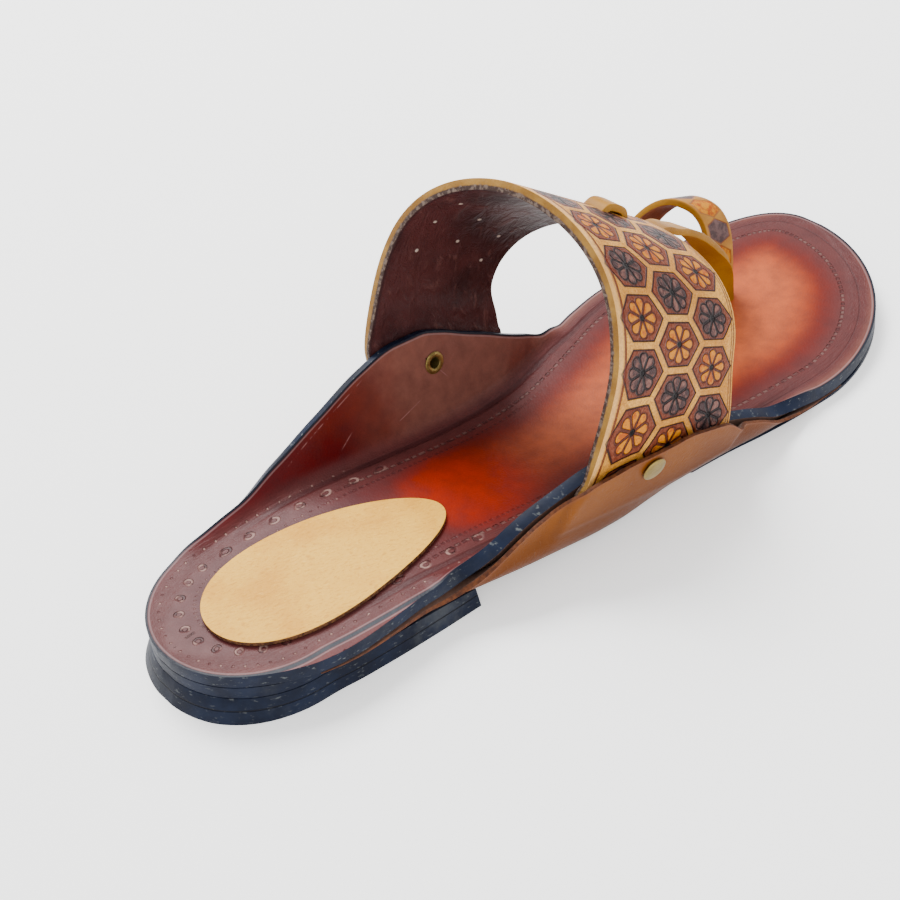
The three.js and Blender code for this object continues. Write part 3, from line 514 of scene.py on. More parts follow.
def ear_point(side, y, run, outer):
    foot, fold = ear_foot[side](y) * EAR_FOOT, wing_fold[side](y)
    wall = lerp(foot, EAR, min(1.0, 2 * fold))
    corner = EAR_CORNER * ear_foot[side](y) * fold * smooth(-1, 2.5, run) * (1 - smooth(3.5, 9, run))
    inner = wing_wall(side, y, run) + GAP + pocket_room(side, y, run)
    thickness = lerp(foot, wall, smooth(2, 9, run)) + corner
    return margin_point(side, y, run, inner + thickness if outer else inner)


print("strap top at", round(max(p.z for p in strap_line(0, 60)), 1), "mm")

# %% [markdown]
# Every leather piece is a sheet with a wall. It starts as a flat grid, Solidify gives it a second face
# and a rim, both faces are laid on their surfaces, and a bevel rounds the cut edges as a slicker does.
# Numbers about each point, such as its distance from the cut edge, are kept for the finishes.

# %% Making a sheet


def row_place(point):
    return SHOE_ORIGIN + Vector(point) * MM


def unit(vector):
    return vector / np.linalg.norm(vector, axis=-1, keepdims=True)


def sheet_normals(face):
    """Unit normals of a face given as an array of rows, columns and xyz."""
    return unit(np.cross(np.gradient(face, axis=0), np.gradient(face, axis=1)))


def apply_all(piece):
    bpy.context.view_layer.objects.active = piece
    for modifier in list(piece.modifiers):
        bpy.ops.object.modifier_apply(modifier=modifier.name)


def walled_sheet(name, outer, inner, facts, materials, rounding, holes=None):
    """A closed piece between two faces, each an array of rows, columns and xyz in millimetres.
    materials are those of the outer face, the inner face and the cut edge."""
    rows, columns = outer.shape[:2]
    bpy.ops.object.select_all(action="DESELECT")
    bpy.ops.mesh.primitive_grid_add(x_subdivisions=rows - 1, y_subdivisions=columns - 1, size=1.0)
    piece = bpy.context.object
    piece.name = name
    mesh = piece.data
    flat = np.zeros(len(mesh.vertices) * 3)
    mesh.vertices.foreach_get("co", flat)
    flat = flat.reshape(-1, 3)
    r = np.rint((flat[:, 0] + 0.5) * (rows - 1)).astype(int)
    c = np.rint((flat[:, 1] + 0.5) * (columns - 1)).astype(int)
    for fact, values in facts.items():
        kept = mesh.attributes.new(fact, "FLOAT", "POINT")
        kept.data.foreach_set("value", np.ascontiguousarray(values[r, c], dtype=np.float32))
    for material in materials:
        mesh.materials.append(material)
    places = {"row_number": r, "column_number": c}
    for place, numbers in places.items():
        kept = mesh.attributes.new(place, "INT", "POINT")
        kept.data.foreach_set("value", numbers.astype(np.int32))
    if holes is not None:
        bpy.ops.object.mode_set(mode="EDIT")
        bpy.ops.mesh.select_mode(type="VERT")
        bpy.ops.mesh.select_all(action="DESELECT")
        bpy.ops.object.mode_set(mode="OBJECT")
        mesh.vertices.foreach_set("select", holes[r, c])
        bpy.ops.object.mode_set(mode="EDIT")
        bpy.ops.mesh.delete(type="VERT")
        bpy.ops.object.mode_set(mode="OBJECT")
    wall = piece.modifiers.new("wall", "SOLIDIFY")
    wall.thickness = 0.01    # any thickness will do, because both faces are laid after it
    wall.offset = -1.0
    wall.material_offset = 1
    wall.material_offset_rim = 2
    apply_all(piece)
    mesh = piece.data
    total = len(mesh.vertices)
    for place in places:
        places[place] = np.zeros(total, dtype=np.int32)
        mesh.attributes[place].data.foreach_get("value", places[place])
        mesh.attributes.remove(mesh.attributes[place])
    r, c = places.values()
    is_inner = np.arange(total) >= total // 2
    laid = np.where(is_inner[:, None], inner[r, c], outer[r, c])
    laid = laid * MM + np.array(SHOE_ORIGIN)
    mesh.vertices.foreach_set("co", laid.ravel())
    depth = mesh.attributes.new("depth", "FLOAT", "POINT")
    depth.data.foreach_set("value", is_inner.astype(np.float32))
    mesh.update()
    bpy.ops.object.mode_set(mode="EDIT")
    bpy.ops.mesh.select_all(action="SELECT")
    bpy.ops.mesh.normals_make_consistent(inside=False)
    bpy.ops.object.mode_set(mode="OBJECT")
    if rounding:
        edge = piece.modifiers.new("rounded_edge", "BEVEL")
        edge.width = rounding * MM
        edge.segments = 3
        edge.limit_method = "ANGLE"
        edge.angle_limit = math.radians(40)
        edge.use_clamp_overlap = True
        apply_all(piece)
    bpy.ops.object.shade_smooth_by_angle(angle=math.radians(50))
    print(name, len(mesh.polygons), "faces")
    return piece


def lengths_along(line):
    """The distance along a line of points, at each of them."""
    return np.r_[0, np.cumsum(np.linalg.norm(np.diff(line, axis=0), axis=1))]


def over(rows, function):
    """function(side, y, run) at every place of the rows, each of them y and its sides and runs."""
    return np.array([[function(side, y, run) for side, run in row] for y, row in rows])


# %% [markdown]
# The sole's cut edges are dyed navy-black and burnished. The dye wears grey where it rubs, and short
# pale scratches lie along the edge. The stacked layers of heel leather show as fine lines.

# %% Edge finish
def black_edge(name, wear, flecks, lines=()):
    recipe = Recipe(name)
    x, y, z = recipe.parts(recipe.place)
    clouds = recipe.noise(90.0, 4.0)
    worn = recipe.noise(38.0, 5.0, 0.65).ramp(0.52, 0.72) * wear
    drawn = recipe.vector(x, y, z * 3.0)
    fleck = recipe.noise(420.0, 3.0, 0.6, drawn).ramp(0.60, 0.72) * flecks
    grain = recipe.noise(900.0, 3.0)
    groove = None
    for height, depth in lines:
        wavy = z + (recipe.noise(25.0, 2.0) - 0.5) * 0.0006
        line = wavy.band(height * MM, 0.00008, 0.00016) * depth
        groove = line if groove is None else groove.most(line)
    tone = recipe.mix(clouds.ramp(0.3, 0.7), (0.004, 0.006, 0.015), (0.008, 0.013, 0.031))
    tone = recipe.mix(worn, tone, (0.050, 0.054, 0.060))
    tone = recipe.mix(fleck * 0.7, tone, (0.12, 0.13, 0.13))
    height = grain * 0.10 + clouds * 0.10 - fleck * 0.15
    if groove is not None:
        tone = recipe.mix(groove, tone, (0.004, 0.004, 0.006))
        height = height - groove
    rough = (worn * 0.25 + 0.42 + grain * 0.12).most(fleck * 0.6)
    return recipe.finish(tone, rough, height, 0.0005, coat=0.02, coat_rough=0.25, shine=0.10)


heel_edge = black_edge("heel_edge", 0.75, 0.6, [(3.6, 0.7)])
sole_edge = black_edge("sole_edge", 0.35, 0.35)
wing_edge = black_edge("wing_edge", 0.4, 1.0)
print("three navy-black edges")

# %% [markdown]
# The underside is plain flesh-side leather, dark and matt from walking. It is given to the tread of the
# outsole and the heel.

# %% Tread finish
recipe = Recipe("tread")
scuffs = recipe.noise(45.0, 6.0, 0.65)
pores = recipe.cells(900.0)
tone = recipe.mix(scuffs.ramp(0.35, 0.68), (0.030, 0.026, 0.026), (0.115, 0.085, 0.062))
tread = recipe.finish(tone, 0.75 + scuffs * 0.15, scuffs + pores * 0.3, 0.0005)
print("tread leather has", len(tread.node_tree.nodes), "nodes")

# %% [markdown]
# The outsole and the heel block are thick plain leathers, drawn like their solids but in short steps,
# so the outline runs round the heel and the toe without corners.

# %% Outsole and heel block
END_INSET = 0.15    # the first and last row stay this far inside the tips, in mm


def stations(first, last, count):
    """Places along the shoe, closer together at both ends where the outline turns."""
    return [lerp(first, last, 0.5 - 0.5 * math.cos(math.pi * k / (count - 1))) for k in range(count)]


def let_in(side, y):
    table = FEET[side]
    beyond = max(table[0][0] * LENGTH - y, y - table[-1][0] * LENGTH)
    return (ear_foot[side](y) * EAR_FOOT + GAP) * (1 - smooth(7, 16, beyond))


def outsole_row(y, is_top):
    under = footbed(y) - TOP_SOLE - GAP
    halves = {}
    for side in SIDES:
        sign, rim = SIGN[side], outline(side, y)
        outer = rim - sign * (FOLD_INSET + EAR_TAB + GAP) * cut_back[side](y)
        inset = min(sign * (rim - fold_line(side, y)) + EAR_TAB + GAP, MARGIN_CAP * sole_width(y))
        step = sign * min(sign * rim - inset, sign * outer - 0.5)
        low = under - (let_in(side, y) if is_top else outsole_thickness(y))
        top = under if is_top else under - outsole_thickness(y)
        halves[side] = [(outer, y, low), (lerp(outer, step, 0.5), y, low), (step, y, low),
                        (step - sign * 0.4, y, top)]
    first, last = halves["medial"][-1], halves["lateral"][-1]
    middle = [(x, y, first[2]) for x in spread(13, first[0], last[0])[1:-1]]
    return halves["medial"] + middle + halves["lateral"][::-1]


ys = stations(END_INSET, LENGTH - END_INSET, 150)
outsole = walled_sheet("outsole_leather", np.array([outsole_row(y, True) for y in ys]),
                       np.array([outsole_row(y, False) for y in ys]), {},
                       [sole_edge, tread, sole_edge], 0.5)
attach(outsole, "root")
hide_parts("outsole")


def heel_row(y, is_top):
    if is_top:
        height = footbed(y) - TOP_SOLE - outsole_thickness(y) - 2 * GAP
        return [(x, y, height) for x in spread(17, outline("medial", y), outline("lateral", y))]
    outward = HEEL_FLARE_SIDE * min(1, sole_width(y) / HEEL_ROUND)
    behind = HEEL_FLARE_BACK * (1 - smooth(0, 1.5 * HEEL_ROUND, y))
    ends = outline("medial", y) - outward, outline("lateral", y) + outward
    return [(x, y - behind, 0.0) for x in spread(17, *ends)]


ys = stations(END_INSET, 2 * HEEL_LENGTH - END_INSET, 120)
ys = [y for y in ys if y < HEEL_LENGTH] + [HEEL_LENGTH]
heel = walled_sheet("heel_leather", np.array([heel_row(y, True) for y in ys]),
                    np.array([heel_row(y, False) for y in ys]), {},
                    [sole_edge, tread, heel_edge], 0.7)
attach(heel, "root")
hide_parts("heel_block")

# %% [markdown]
# The top sole is one glossy hide, dyed plum round the rim and burnished to red and orange in the
# middle, where the foot's heat and the maker's cloth have thinned the dye. Its margins are folded up
# into the two wings. Stitches, stamped crescents and small dots follow its rim.

# %% Top sole leather
plum, wine = (0.088, 0.023, 0.022), (0.070, 0.011, 0.012)
red, orange, salmon = (0.115, 0.005, 0.001), (0.24, 0.020, 0.001), (0.42, 0.080, 0.020)

recipe = Recipe("footbed")
rim = recipe.attribute("rim")            # millimetres from the outline
along = recipe.attribute("around")       # millimetres round the outline
shoe_y = recipe.attribute("shoe_y")      # millimetres from the heel's back
shoe_x = recipe.attribute("shoe_x")
run = recipe.attribute("wing")           # millimetres up the wing, from the fold line
edge_mm = recipe.attribute("to_edge")    # millimetres from the cut edge, wings laid flat
clouds = recipe.noise(22.0, 4.0)
fine = recipe.noise(190.0, 4.0, 0.6)
grain = recipe.cells(1500.0)

inward = rim + (clouds - 0.5) * 9.0
heel_part = shoe_y.ramp(112.0, 70.0)
toe_part = shoe_y.ramp(116.0, 146.0)
tone = recipe.mix(inward.ramp(7.0, 20.0), plum, recipe.mix(heel_part, red, wine))
tone = recipe.mix(inward.ramp(13.0, 30.0) * (1.0 - heel_part), tone, orange)
tone = recipe.mix(inward.ramp(16.0, 31.0) * toe_part, tone, salmon)
glow = (((shoe_x - 6.0) / 20.0).power(2.0) + ((shoe_y - 104.0) / 22.0).power(2.0)).ramp(1.3, 0.1)
tone = recipe.mix(glow * 0.85, tone, (0.27, 0.010, 0.000))
on_wing = run.ramp(1.0, 7.0)
wing_tone = recipe.mix(shoe_y.ramp(82.0, 112.0), (0.080, 0.0020, 0.003),
                       (0.200, 0.075, 0.056))
wing_tone = recipe.mix(clouds.ramp(0.46, 0.66) * 0.6, wing_tone, (0.120, 0.015, 0.008))
tone = recipe.mix(on_wing, tone, wing_tone)
tone = recipe.mix((fine - 0.35).most(0.0) * 0.9, tone, (0.030, 0.008, 0.010))

dash = (along / 2.7).part().band(0.5, 0.27, 0.10)
on_bed = run.ramp(2.0, 0.0)
stitch = rim.band(10.5, 0.35, 0.35) * dash * on_bed * shoe_y.ramp(66.0, 84.0)
gutter = rim.band(5.2, 0.12, 0.25) * shoe_y.ramp(185.0, 200.0) * on_bed
second_dash = (along / 1.9 + 0.3).part().band(0.5, 0.22, 0.12)
second = rim.band(13.6, 0.3, 0.3) * second_dash * shoe_y.ramp(170.0, 120.0)
second = second * on_bed * shoe_y.ramp(60.0, 84.0)
behind = 1.0 - shoe_y.ramp(70.0, 90.0)
dot = along.each(3.9).away(rim - 3.9).ramp(0.55, 0.20) * behind
dot = dot.most(along.each(3.1, 0.4).away(rim - 13.8).ramp(0.5, 0.2) * behind * 0.8)
stamp_along = along.each(9.4)
stamp = (stamp_along.power(2.0) * 0.55 + (rim - 9.4).power(2.0)).power(0.5)
crescent = stamp.band(1.15, 0.24, 0.32) * (stamp_along + (rim - 9.4) * 0.8).ramp(-2.2, -0.6)
crescent = crescent * shoe_y.ramp(100.0, 84.0) * on_bed
patchy = recipe.noise(260.0, 2.0).ramp(0.42, 0.56)
pale = ((dot * 0.50).most(crescent * 0.45)).most(stitch * 0.16) * patchy
dark = (gutter * 0.4).most(stitch * 0.5).most(second * 0.45).most(crescent * (1.0 - patchy) * 0.8)
tone = recipe.mix(dark * 0.7, tone, (0.018, 0.006, 0.008))
tone = recipe.mix(pale, tone, (0.42, 0.26, 0.22))
# painted highlight: a thin pale line just inside the cut edge, where the rounded edge catches light
tone = recipe.mix(edge_mm.band(1.15, 0.10, 0.30) * 0.30, tone, (0.34, 0.24, 0.24))
tone = recipe.mix(edge_mm.ramp(0.95, 0.55), tone, (0.010, 0.012, 0.020))

# painted shade: a darker band along the fold where the footbed turns up into a wing; the same mask dents
# the bump
crease_dent_and_shade = run.band(-0.6, 0.5, 1.2) * shoe_y.ramp(40.0, 60.0) * shoe_y.ramp(215.0, 190.0)
wrinkle = recipe.noise(1.0, 3.0, 0.6, recipe.vector(shoe_x * 0.9, shoe_y * 0.16, run), 0.4)
wrinkled = run.band(0.0, 2.0, 5.0) * wrinkle


def scratch_mark(y_start, run_start, y_end, run_end):
    """A thin broken line on the medial wing between two places, in millimetres."""
    along_way, up_way = y_end - y_start, run_end - run_start
    length = math.hypot(along_way, up_way)
    past, above = shoe_y - y_start, run - run_start
    ahead = past * (along_way / length) + above * (up_way / length)
    aside = above * (along_way / length) - past * (up_way / length)
    return aside.band(0.0, 0.05, 0.22) * ahead.ramp(0.0, 3.0) * ahead.ramp(length, length - 3.0)


SCRATCHES = [(104.0, 8.0, 116.0, 13.0), (84.0, 7.0, 90.0, 12.0), (122.0, 24.0, 128.0, 15.0)]
scratches = scratch_mark(66.0, 9.0, 98.0, 27.0)
for mark in SCRATCHES:
    scratches = scratches.most(scratch_mark(*mark))
scratches = scratches * shoe_x.ramp(-10.0, -18.0) * fine.ramp(0.42, 0.56)
tone = recipe.mix(scratches * 0.40, tone, (0.40, 0.19, 0.18))
tone = recipe.mix(crease_dent_and_shade * 0.45, tone, (0.020, 0.006, 0.008))

height = fine * 0.10 + grain * 0.06 + wrinkled * 0.4 - crease_dent_and_shade * 0.5
height = height - (dark * 0.5) - (stitch * 0.4) - (dot * 0.5) - (crescent * 0.6)
footbed_leather = recipe.finish(tone, fine * 0.16 + 0.32 + pale * 0.2, height, 0.0006,
                                coat=0.03, coat_rough=0.2, shine=0.09)

recipe = Recipe("sole_flesh")
flesh = recipe.noise(300.0, 4.0)
tone = recipe.mix(flesh, (0.05, 0.022, 0.015), (0.11, 0.05, 0.03))
sole_flesh = recipe.finish(tone, 0.8, flesh, 0.0003)
print("footbed leather has", len(footbed_leather.node_tree.nodes), "nodes")

# %% [markdown]
# The surface is laid row by row across the shoe: up the medial wing's edge, down round its fold, over
# the flat footbed and up the other wing. Two rivet holes are left out, and their rivets fill them.

# %% Top sole
def bend_runs(side, y):
    """Runs through a fold's bend, and the run where the bend ends."""
    bend = FOLD_ANGLE[side] * max(wing_fold[side](y), 0.05) * FOLD_RADIUS
    bend = min(margin(side, y), bend)
    return [bend * k / 7 for k in range(7)], bend


def sole_runs(side, y):
    """Runs of the margin from its fold line to its edge, close together in the bend."""
    in_bend, bend = bend_runs(side, y)
    return in_bend + [lerp(bend, margin(side, y), (k / 18) ** 0.9) for k in range(19)]


def sole_row(y):
    """The places of one row across the shoe, each a side and a run from its fold line."""
    medial = [("medial", run) for run in sole_runs("medial", y)][::-1]
    lateral = [("lateral", run) for run in sole_runs("lateral", y)]
    folds = {side: fold_line(side, y) for side in SIDES}
    flat = []
    for k in range(1, 30):
        side = "medial" if k < 15 else "lateral"
        x = lerp(folds["medial"], folds["lateral"], k / 30)
        flat.append((side, SIGN[side] * (x - folds[side])))
    return medial + flat + lateral


rows = [(y, sole_row(y)) for y in stations(END_INSET, LENGTH - END_INSET, 260)]
upper = over(rows, lambda side, y, run: margin_point(side, y, run, 0))
lower = over(rows, lambda side, y, run: margin_point(side, y, run, wing_wall(side, y, run)))
runs = over(rows, lambda side, y, run: run)

edge_ys = stations(0.0, LENGTH, 500)
rim_points = np.array([(outline("medial", y), y) for y in edge_ys] +
                       [(outline("lateral", y), y) for y in edge_ys[::-1]])
rim_lengths = lengths_along(rim_points)
flat_plan = upper[:, :, :2].reshape(-1, 2)
near = np.empty(len(flat_plan), dtype=int)
BATCH = 2000    # points at a time, so the table of distances stays small
for start in range(0, len(flat_plan), BATCH):
    gaps = flat_plan[start:start + BATCH, None] - rim_points[None]
    near[start:start + BATCH] = (gaps ** 2).sum(axis=2).argmin(axis=1)
shape = upper.shape[:2]
rim_mm = np.linalg.norm(flat_plan - rim_points[near], axis=1).reshape(shape)
folded = over(rows, lambda side, y, run: wing_fold[side](y))
to_edge = over(rows, lambda side, y, run: margin(side, y) - run)
to_edge = np.where(folded < 0.05, rim_mm, to_edge)
around_mm = rim_lengths[near].reshape(shape)

RIVET_SPOTS = {"lateral": (0.489, 22.3), "medial": (0.44, 22.5)}
SHANK_RADIUS, CAP_RADIUS = 2.6, 3.9
HOLE_RADIUS, HOLE_REACH = 1.9, 20.0


def rivet_line(side):
    """Where a rivet starts on the wing's inner face, and the way it points."""
    share, run = RIVET_SPOTS[side]
    y = share * LENGTH
    corners = [ear_point(side, y + a * CAP_RADIUS, run + b * CAP_RADIUS, True)
               for a, b in ((1, 0), (-1, 0), (0, 1), (0, -1))]
    axis = (corners[0] - corners[1]).cross(corners[2] - corners[3]).normalized()
    return margin_point(side, y, run, 0), axis if axis.x * SIGN[side] > 0 else -axis


def round_rivet(face, side):
    """The points of a face that a rivet's hole takes away."""
    origin, axis = rivet_line(side)
    offset = face - np.array(origin)
    away = np.linalg.norm(np.cross(offset, np.array(axis)), axis=2)
    return (away < HOLE_RADIUS) & (np.linalg.norm(offset, axis=2) < HOLE_REACH)


holes = round_rivet(upper, "medial") | round_rivet(upper, "lateral")
print("rivet holes leave out", int(holes.sum()), "points")

top_sole = walled_sheet("top_sole_leather", upper, lower,
                        {"rim": rim_mm, "around": around_mm, "wing": runs, "to_edge": to_edge,
                         "shoe_x": upper[:, :, 0], "shoe_y": upper[:, :, 1]},
                        [footbed_leather, sole_flesh, wing_edge], 0.45, holes)
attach(top_sole, "root")
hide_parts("top_sole")

# %% [markdown]
# The ears are smooth orange-tan leather with a satin face. They hold the strap's ends in a pocket, and a
# soft painted shade runs down the slope where the pocket ends. They darken toward the floor.

# %% Ears
recipe = Recipe("ear_leather")
x, y, z = recipe.parts(recipe.place)
clouds = recipe.noise(35.0, 4.0)
fine = recipe.noise(600.0, 3.0)
grain = recipe.cells(1600.0)
top_mm = recipe.attribute("from_top")
pocket = recipe.attribute("pocket")
tone = recipe.mix(clouds.ramp(0.3, 0.7), (0.120, 0.030, 0.0006), (0.175, 0.050, 0.0018))
tone = recipe.mix(z.ramp(0.026, 0.006) * 0.8, tone, (0.070, 0.014, 0.0005))
tone = recipe.mix(top_mm.ramp(1.2, 0.0) * 0.6, tone, (0.16, 0.05, 0.02))
# painted shade on the slope where the ear's pocket ends
pocket_edge_shade = pocket.band(0.5, 0.05, 0.28)
tone = recipe.mix(pocket_edge_shade * 0.28, tone, (0.06, 0.016, 0.003))
tone = recipe.mix(z.ramp(0.0062, 0.0048), tone, (0.05, 0.018, 0.010))
streaks = recipe.noise(1.0, 3.0, 0.6, recipe.vector(x * 900.0, y * 900.0, z * 130.0))
lines = streaks.ramp(0.60, 0.72) * top_mm.band(5.0, 2.5, 4.0)
tone = recipe.mix(lines * 0.3, tone, (0.20, 0.07, 0.03))
height = grain * 0.12 + fine * 0.12 - lines * 0.25
ear_leather = recipe.finish(tone, fine * 0.15 + 0.38, height, 0.0005, shine=0.12)

recipe = Recipe("tan_edge")
fuzz = recipe.noise(700.0, 4.0)
tone = recipe.mix(fuzz.ramp(0.3, 0.7), (0.045, 0.010, 0.002), (0.110, 0.030, 0.006))
tan_edge = recipe.finish(tone, 0.62, fuzz, 0.0004, shine=0.2)

EAR_THINS = 4.0    # the ear thins to half over its last millimetres


def ear_row(side, y):
    in_bend, bend = bend_runs(side, y)
    top = max(bend + 0.5, margin(side, y) + ear_top[side](y) * wing_fold[side](y))
    runs = [-EAR_TAB, -EAR_TAB / 2] + in_bend + [lerp(bend, top, k / 22) for k in range(1, 23)]
    return [(side, run) for run in runs]


for side in SIDES:
    ends = [FEET[side][k][0] * LENGTH for k in (0, -1)]
    rows = [(y, ear_row(side, y)) for y in stations(*ends, 230)]
    outer = over(rows, lambda side, y, run: ear_point(side, y, run, True))
    inner = over(rows, lambda side, y, run: ear_point(side, y, run, False))
    from_top = np.array([[row[-1][1] - run for _, run in row] for _, row in rows])
    room = over(rows, pocket_room) / (STRAP_SKIVED + POCKET_ROOM)
    thinned = np.clip(1 - from_top / EAR_THINS, 0, 1)[:, :, None] * 0.5
    inner = inner + (outer - inner) * thinned
    holes = round_rivet(outer, side)
    ear = walled_sheet(side + "_ear_leather", outer, inner, {"from_top": from_top, "pocket": room},
                       [ear_leather, sole_flesh, tan_edge], 0.4, holes)
    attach(ear, "root")
    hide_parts("ear_" + side)

# %% [markdown]
# The strap is vegetable-tanned hide carved while it lay flat: hexagon fields cut down and stained
# reddish-brown, each with a flower of eight petals, painted amber or plum in turn. The pattern is drawn
# here on the flat leather too, in a coordinate that runs along the arch and one across it.

# %% Carved flowers
FIELD_HALF = 0.432                     # half a field's width, as a share of its cell
CELL_LONG, CELL_WIDE = 14.7, 17.0      # one cell of the pattern, in millimetres
TAN, PALE_TAN = (0.47, 0.190, 0.020), (0.66, 0.325, 0.058)
STAIN, CUT = (0.120, 0.019, 0.004), (0.022, 0.002, 0.001)
AMBER, AMBER_DEEP = (0.50, 0.165, 0.000), (0.36, 0.070, 0.000)
PLUM, PLUM_PALE = (0.042, 0.018, 0.018), (0.175, 0.072, 0.055)
CUT_BLACK_AND_HOLE_SHADE = (0.005, 0.002, 0.003)
PETALS, PETAL_END, PETAL_GROWS, PETAL_HALF = 8, 4.05, 3.1, 1.26    # number, then millimetres


def hexagon(along, across):
    """Distance from a hexagon's middle, 0.5 on its border, with its points across."""
    return along.size().most(along.size() * 0.5 + across.size() * 0.866)


def flower(recipe, along, across, turn):
    """How far outside a petal, and the distance from the flower's middle, in millimetres."""
    radius = along.away(across)
    angle = recipe.node("ShaderNodeMath", {"operation": "ARCTAN2"}, {0: across, 1: along})
    sector = (angle * (PETALS / (2 * math.pi)) + 2.0 * PETALS + turn).part() - 0.5
    aside = sector * (2 * math.pi / PETALS)
    out, off = radius * aside.cosine(), (radius * aside.sine()).size()
    width = ((out - 1.0) / PETAL_GROWS).most(0.0).least(1.0) * PETAL_HALF
    return off.away((out - PETAL_END).most(0.0)) - width, radius


def carved(recipe, along, across, parity):
    """Colour, height and field mask of one hexagon with its flower, amber at parity 0."""
    ring = hexagon(along, across)
    field = ring.ramp(FIELD_HALF + 0.010, FIELD_HALF - 0.010)
    border = ring.band(FIELD_HALF - 0.008, 0.012, 0.022)
    petal, radius = flower(recipe, along * CELL_LONG, across * CELL_WIDE, 0.5)
    inside = petal.ramp(0.12, -0.12)
    gap = petal.band(0.24, 0.16, 0.26) * radius.ramp(6.4, 5.2)
    grain = recipe.noise(900.0, 4.0, 0.65)
    vein = recipe.noise(330.0, 4.0, 0.6)
    # painted shade: the hole punched through each flower's middle is painted near-black, with a dent in
    # the bump
    hole = radius.ramp(1.05, 0.65)
    amber = recipe.mix(vein.ramp(0.48, 0.62), AMBER, AMBER_DEEP)
    amber = recipe.mix(radius.ramp(2.6, 1.3) * 0.6, amber, AMBER_DEEP)
    petal_tone = recipe.mix(parity, amber, recipe.mix(vein.ramp(0.42, 0.64), PLUM, PLUM_PALE))
    ground = recipe.mix(grain.ramp(0.40, 0.64), STAIN, (0.185, 0.045, 0.018))
    ground = recipe.mix(parity * radius.ramp(6.6, 4.6) * 0.75, ground, (0.040, 0.018, 0.018))
    tone = recipe.mix(inside, ground, petal_tone)
    tone = recipe.mix(gap * (parity * 0.35 + 0.55), tone, recipe.mix(parity, CUT, CUT_BLACK_AND_HOLE_SHADE))
    tone = recipe.mix(border, tone, CUT)
    tone = recipe.mix(hole, tone, CUT_BLACK_AND_HOLE_SHADE)
    height = (inside * 0.50) - 0.75 - (gap * 0.30) - (hole * 0.9) - border * 0.15 + grain * 0.18
    return tone, height, field


recipe = Recipe("carved_strap")
phase = recipe.attribute("phase")          # 1 for each hexagon along the arch
across = recipe.attribute("across")        # share of the width, from the rear edge
rear = recipe.attribute("from_rear")       # millimetres
front = recipe.attribute("from_front")
clouds = recipe.noise(60.0, 4.0)
speck = recipe.noise(1500.0, 4.0, 0.7)
grain = recipe.cells(1700.0)
COLUMN_GAP, COLUMN_FIT = 0.3, 0.976
net = recipe.mix(clouds.ramp(0.36, 0.66), TAN, PALE_TAN)
net = recipe.mix(speck.ramp(0.46, 0.62) * 0.6, net, (0.31, 0.115, 0.018))
net = recipe.mix(speck.ramp(0.45, 0.30) * 0.35, net, (0.78, 0.43, 0.16))
tone, plain_height = net, speck * 0.22
height = plain_height + grain * 0.10
for middle, shift in ((0.2, 0.0), (0.5, 0.5), (0.8, 0.0)):
    shifted = phase + (50.5 + shift)
    along_cell = shifted.part() - 0.5
    across_cell = (across - middle) * (0.866 / COLUMN_GAP * COLUMN_FIT)
    is_plum = (shifted.whole() * 0.5).part() * 2.0
    if middle == 0.8:
        is_plum = 1.0 - is_plum
    is_plum = is_plum.least(1.0).most(0.0)
    carved_tone, carved_height, field = carved(recipe, along_cell, across_cell, is_plum)
    tone = recipe.mix(field, tone, carved_tone)
    height = height + field * (carved_height - plain_height)
line = rear.band(2.7, 0.30, 0.22).most(front.band(0.95, 0.10, 0.16))
line = line.most(front.band(1.9, 0.08, 0.14) * 0.8)
tone = recipe.mix(line * 0.9, tone, (0.11, 0.016, 0.007))
tone = recipe.mix(rear.ramp(2.3, 1.2) * 0.35, tone, (0.80, 0.50, 0.22))
height = height - line * 0.7
carved_leather = recipe.finish(tone, speck * 0.20 + 0.38, height, 0.0011, shine=0.14)
print("carved leather has", len(carved_leather.node_tree.nodes), "nodes")

# %% [markdown]
# The strap's lining is a thin glossy maroon-brown leather that has wrinkled as the strap was bent. Light
# shining through a few pin holes is painted on it as pale dots. The thick rear edge shows both layers:
# the strap's hide, rubbed with olive-gold wax, and the lining's dark edge under it.

# %% Lining and strap edge
recipe = Recipe("lining")
x, y, z = recipe.parts(recipe.place)
clouds = recipe.noise(45.0, 4.0)
folds = recipe.noise(1.0, 4.0, 0.62, recipe.vector(x * 130.0, y * 260.0, z * 130.0), 0.8)
fine = recipe.noise(700.0, 3.0)
tone = recipe.mix(clouds.ramp(0.32, 0.68), (0.022, 0.008, 0.009), (0.058, 0.017, 0.017))
# painted highlight: the wrinkle crests are painted lighter
tone = recipe.mix(folds.ramp(0.56, 0.72) * 0.4, tone, (0.15, 0.065, 0.055))
rear_mm = recipe.attribute("from_rear")
tone = recipe.mix(rear_mm.ramp(1.6, 0.6) * 0.6, tone, (0.020, 0.010, 0.012))
LINING_LENGTH = 205.0
PIN_FIRST, PIN_ROW, PIN_SLANT = 0.646, 0.060, 0.033    # shares of the strap's length
PIN_REAR, PIN_STEP = 10.0, 14.0                        # millimetres from the rear edge
PINS = [(row, column) for row, count in enumerate((3, 3, 1)) for column in range(count)]
arch_share = recipe.attribute("arch_share")
spots = None
for row, column in PINS:
    along_at = PIN_FIRST + PIN_ROW * row + PIN_SLANT * column
    gap_along = (arch_share - along_at) * LINING_LENGTH
    lit_pin_hole = gap_along.away(rear_mm - (PIN_REAR + PIN_STEP * column)).ramp(0.85, 0.45)
    spots = lit_pin_hole if spots is None else spots.most(lit_pin_hole)
# painted light: pale dots where light shines through the pin holes
tone = recipe.mix(spots * 0.8, tone, (0.55, 0.45, 0.38))
height = folds * 1.2 + fine * 0.10 + spots * 0.5
lining = recipe.finish(tone, folds * 0.22 + 0.36, height, 0.0010, coat=0.02, coat_rough=0.3,
                       shine=0.14)

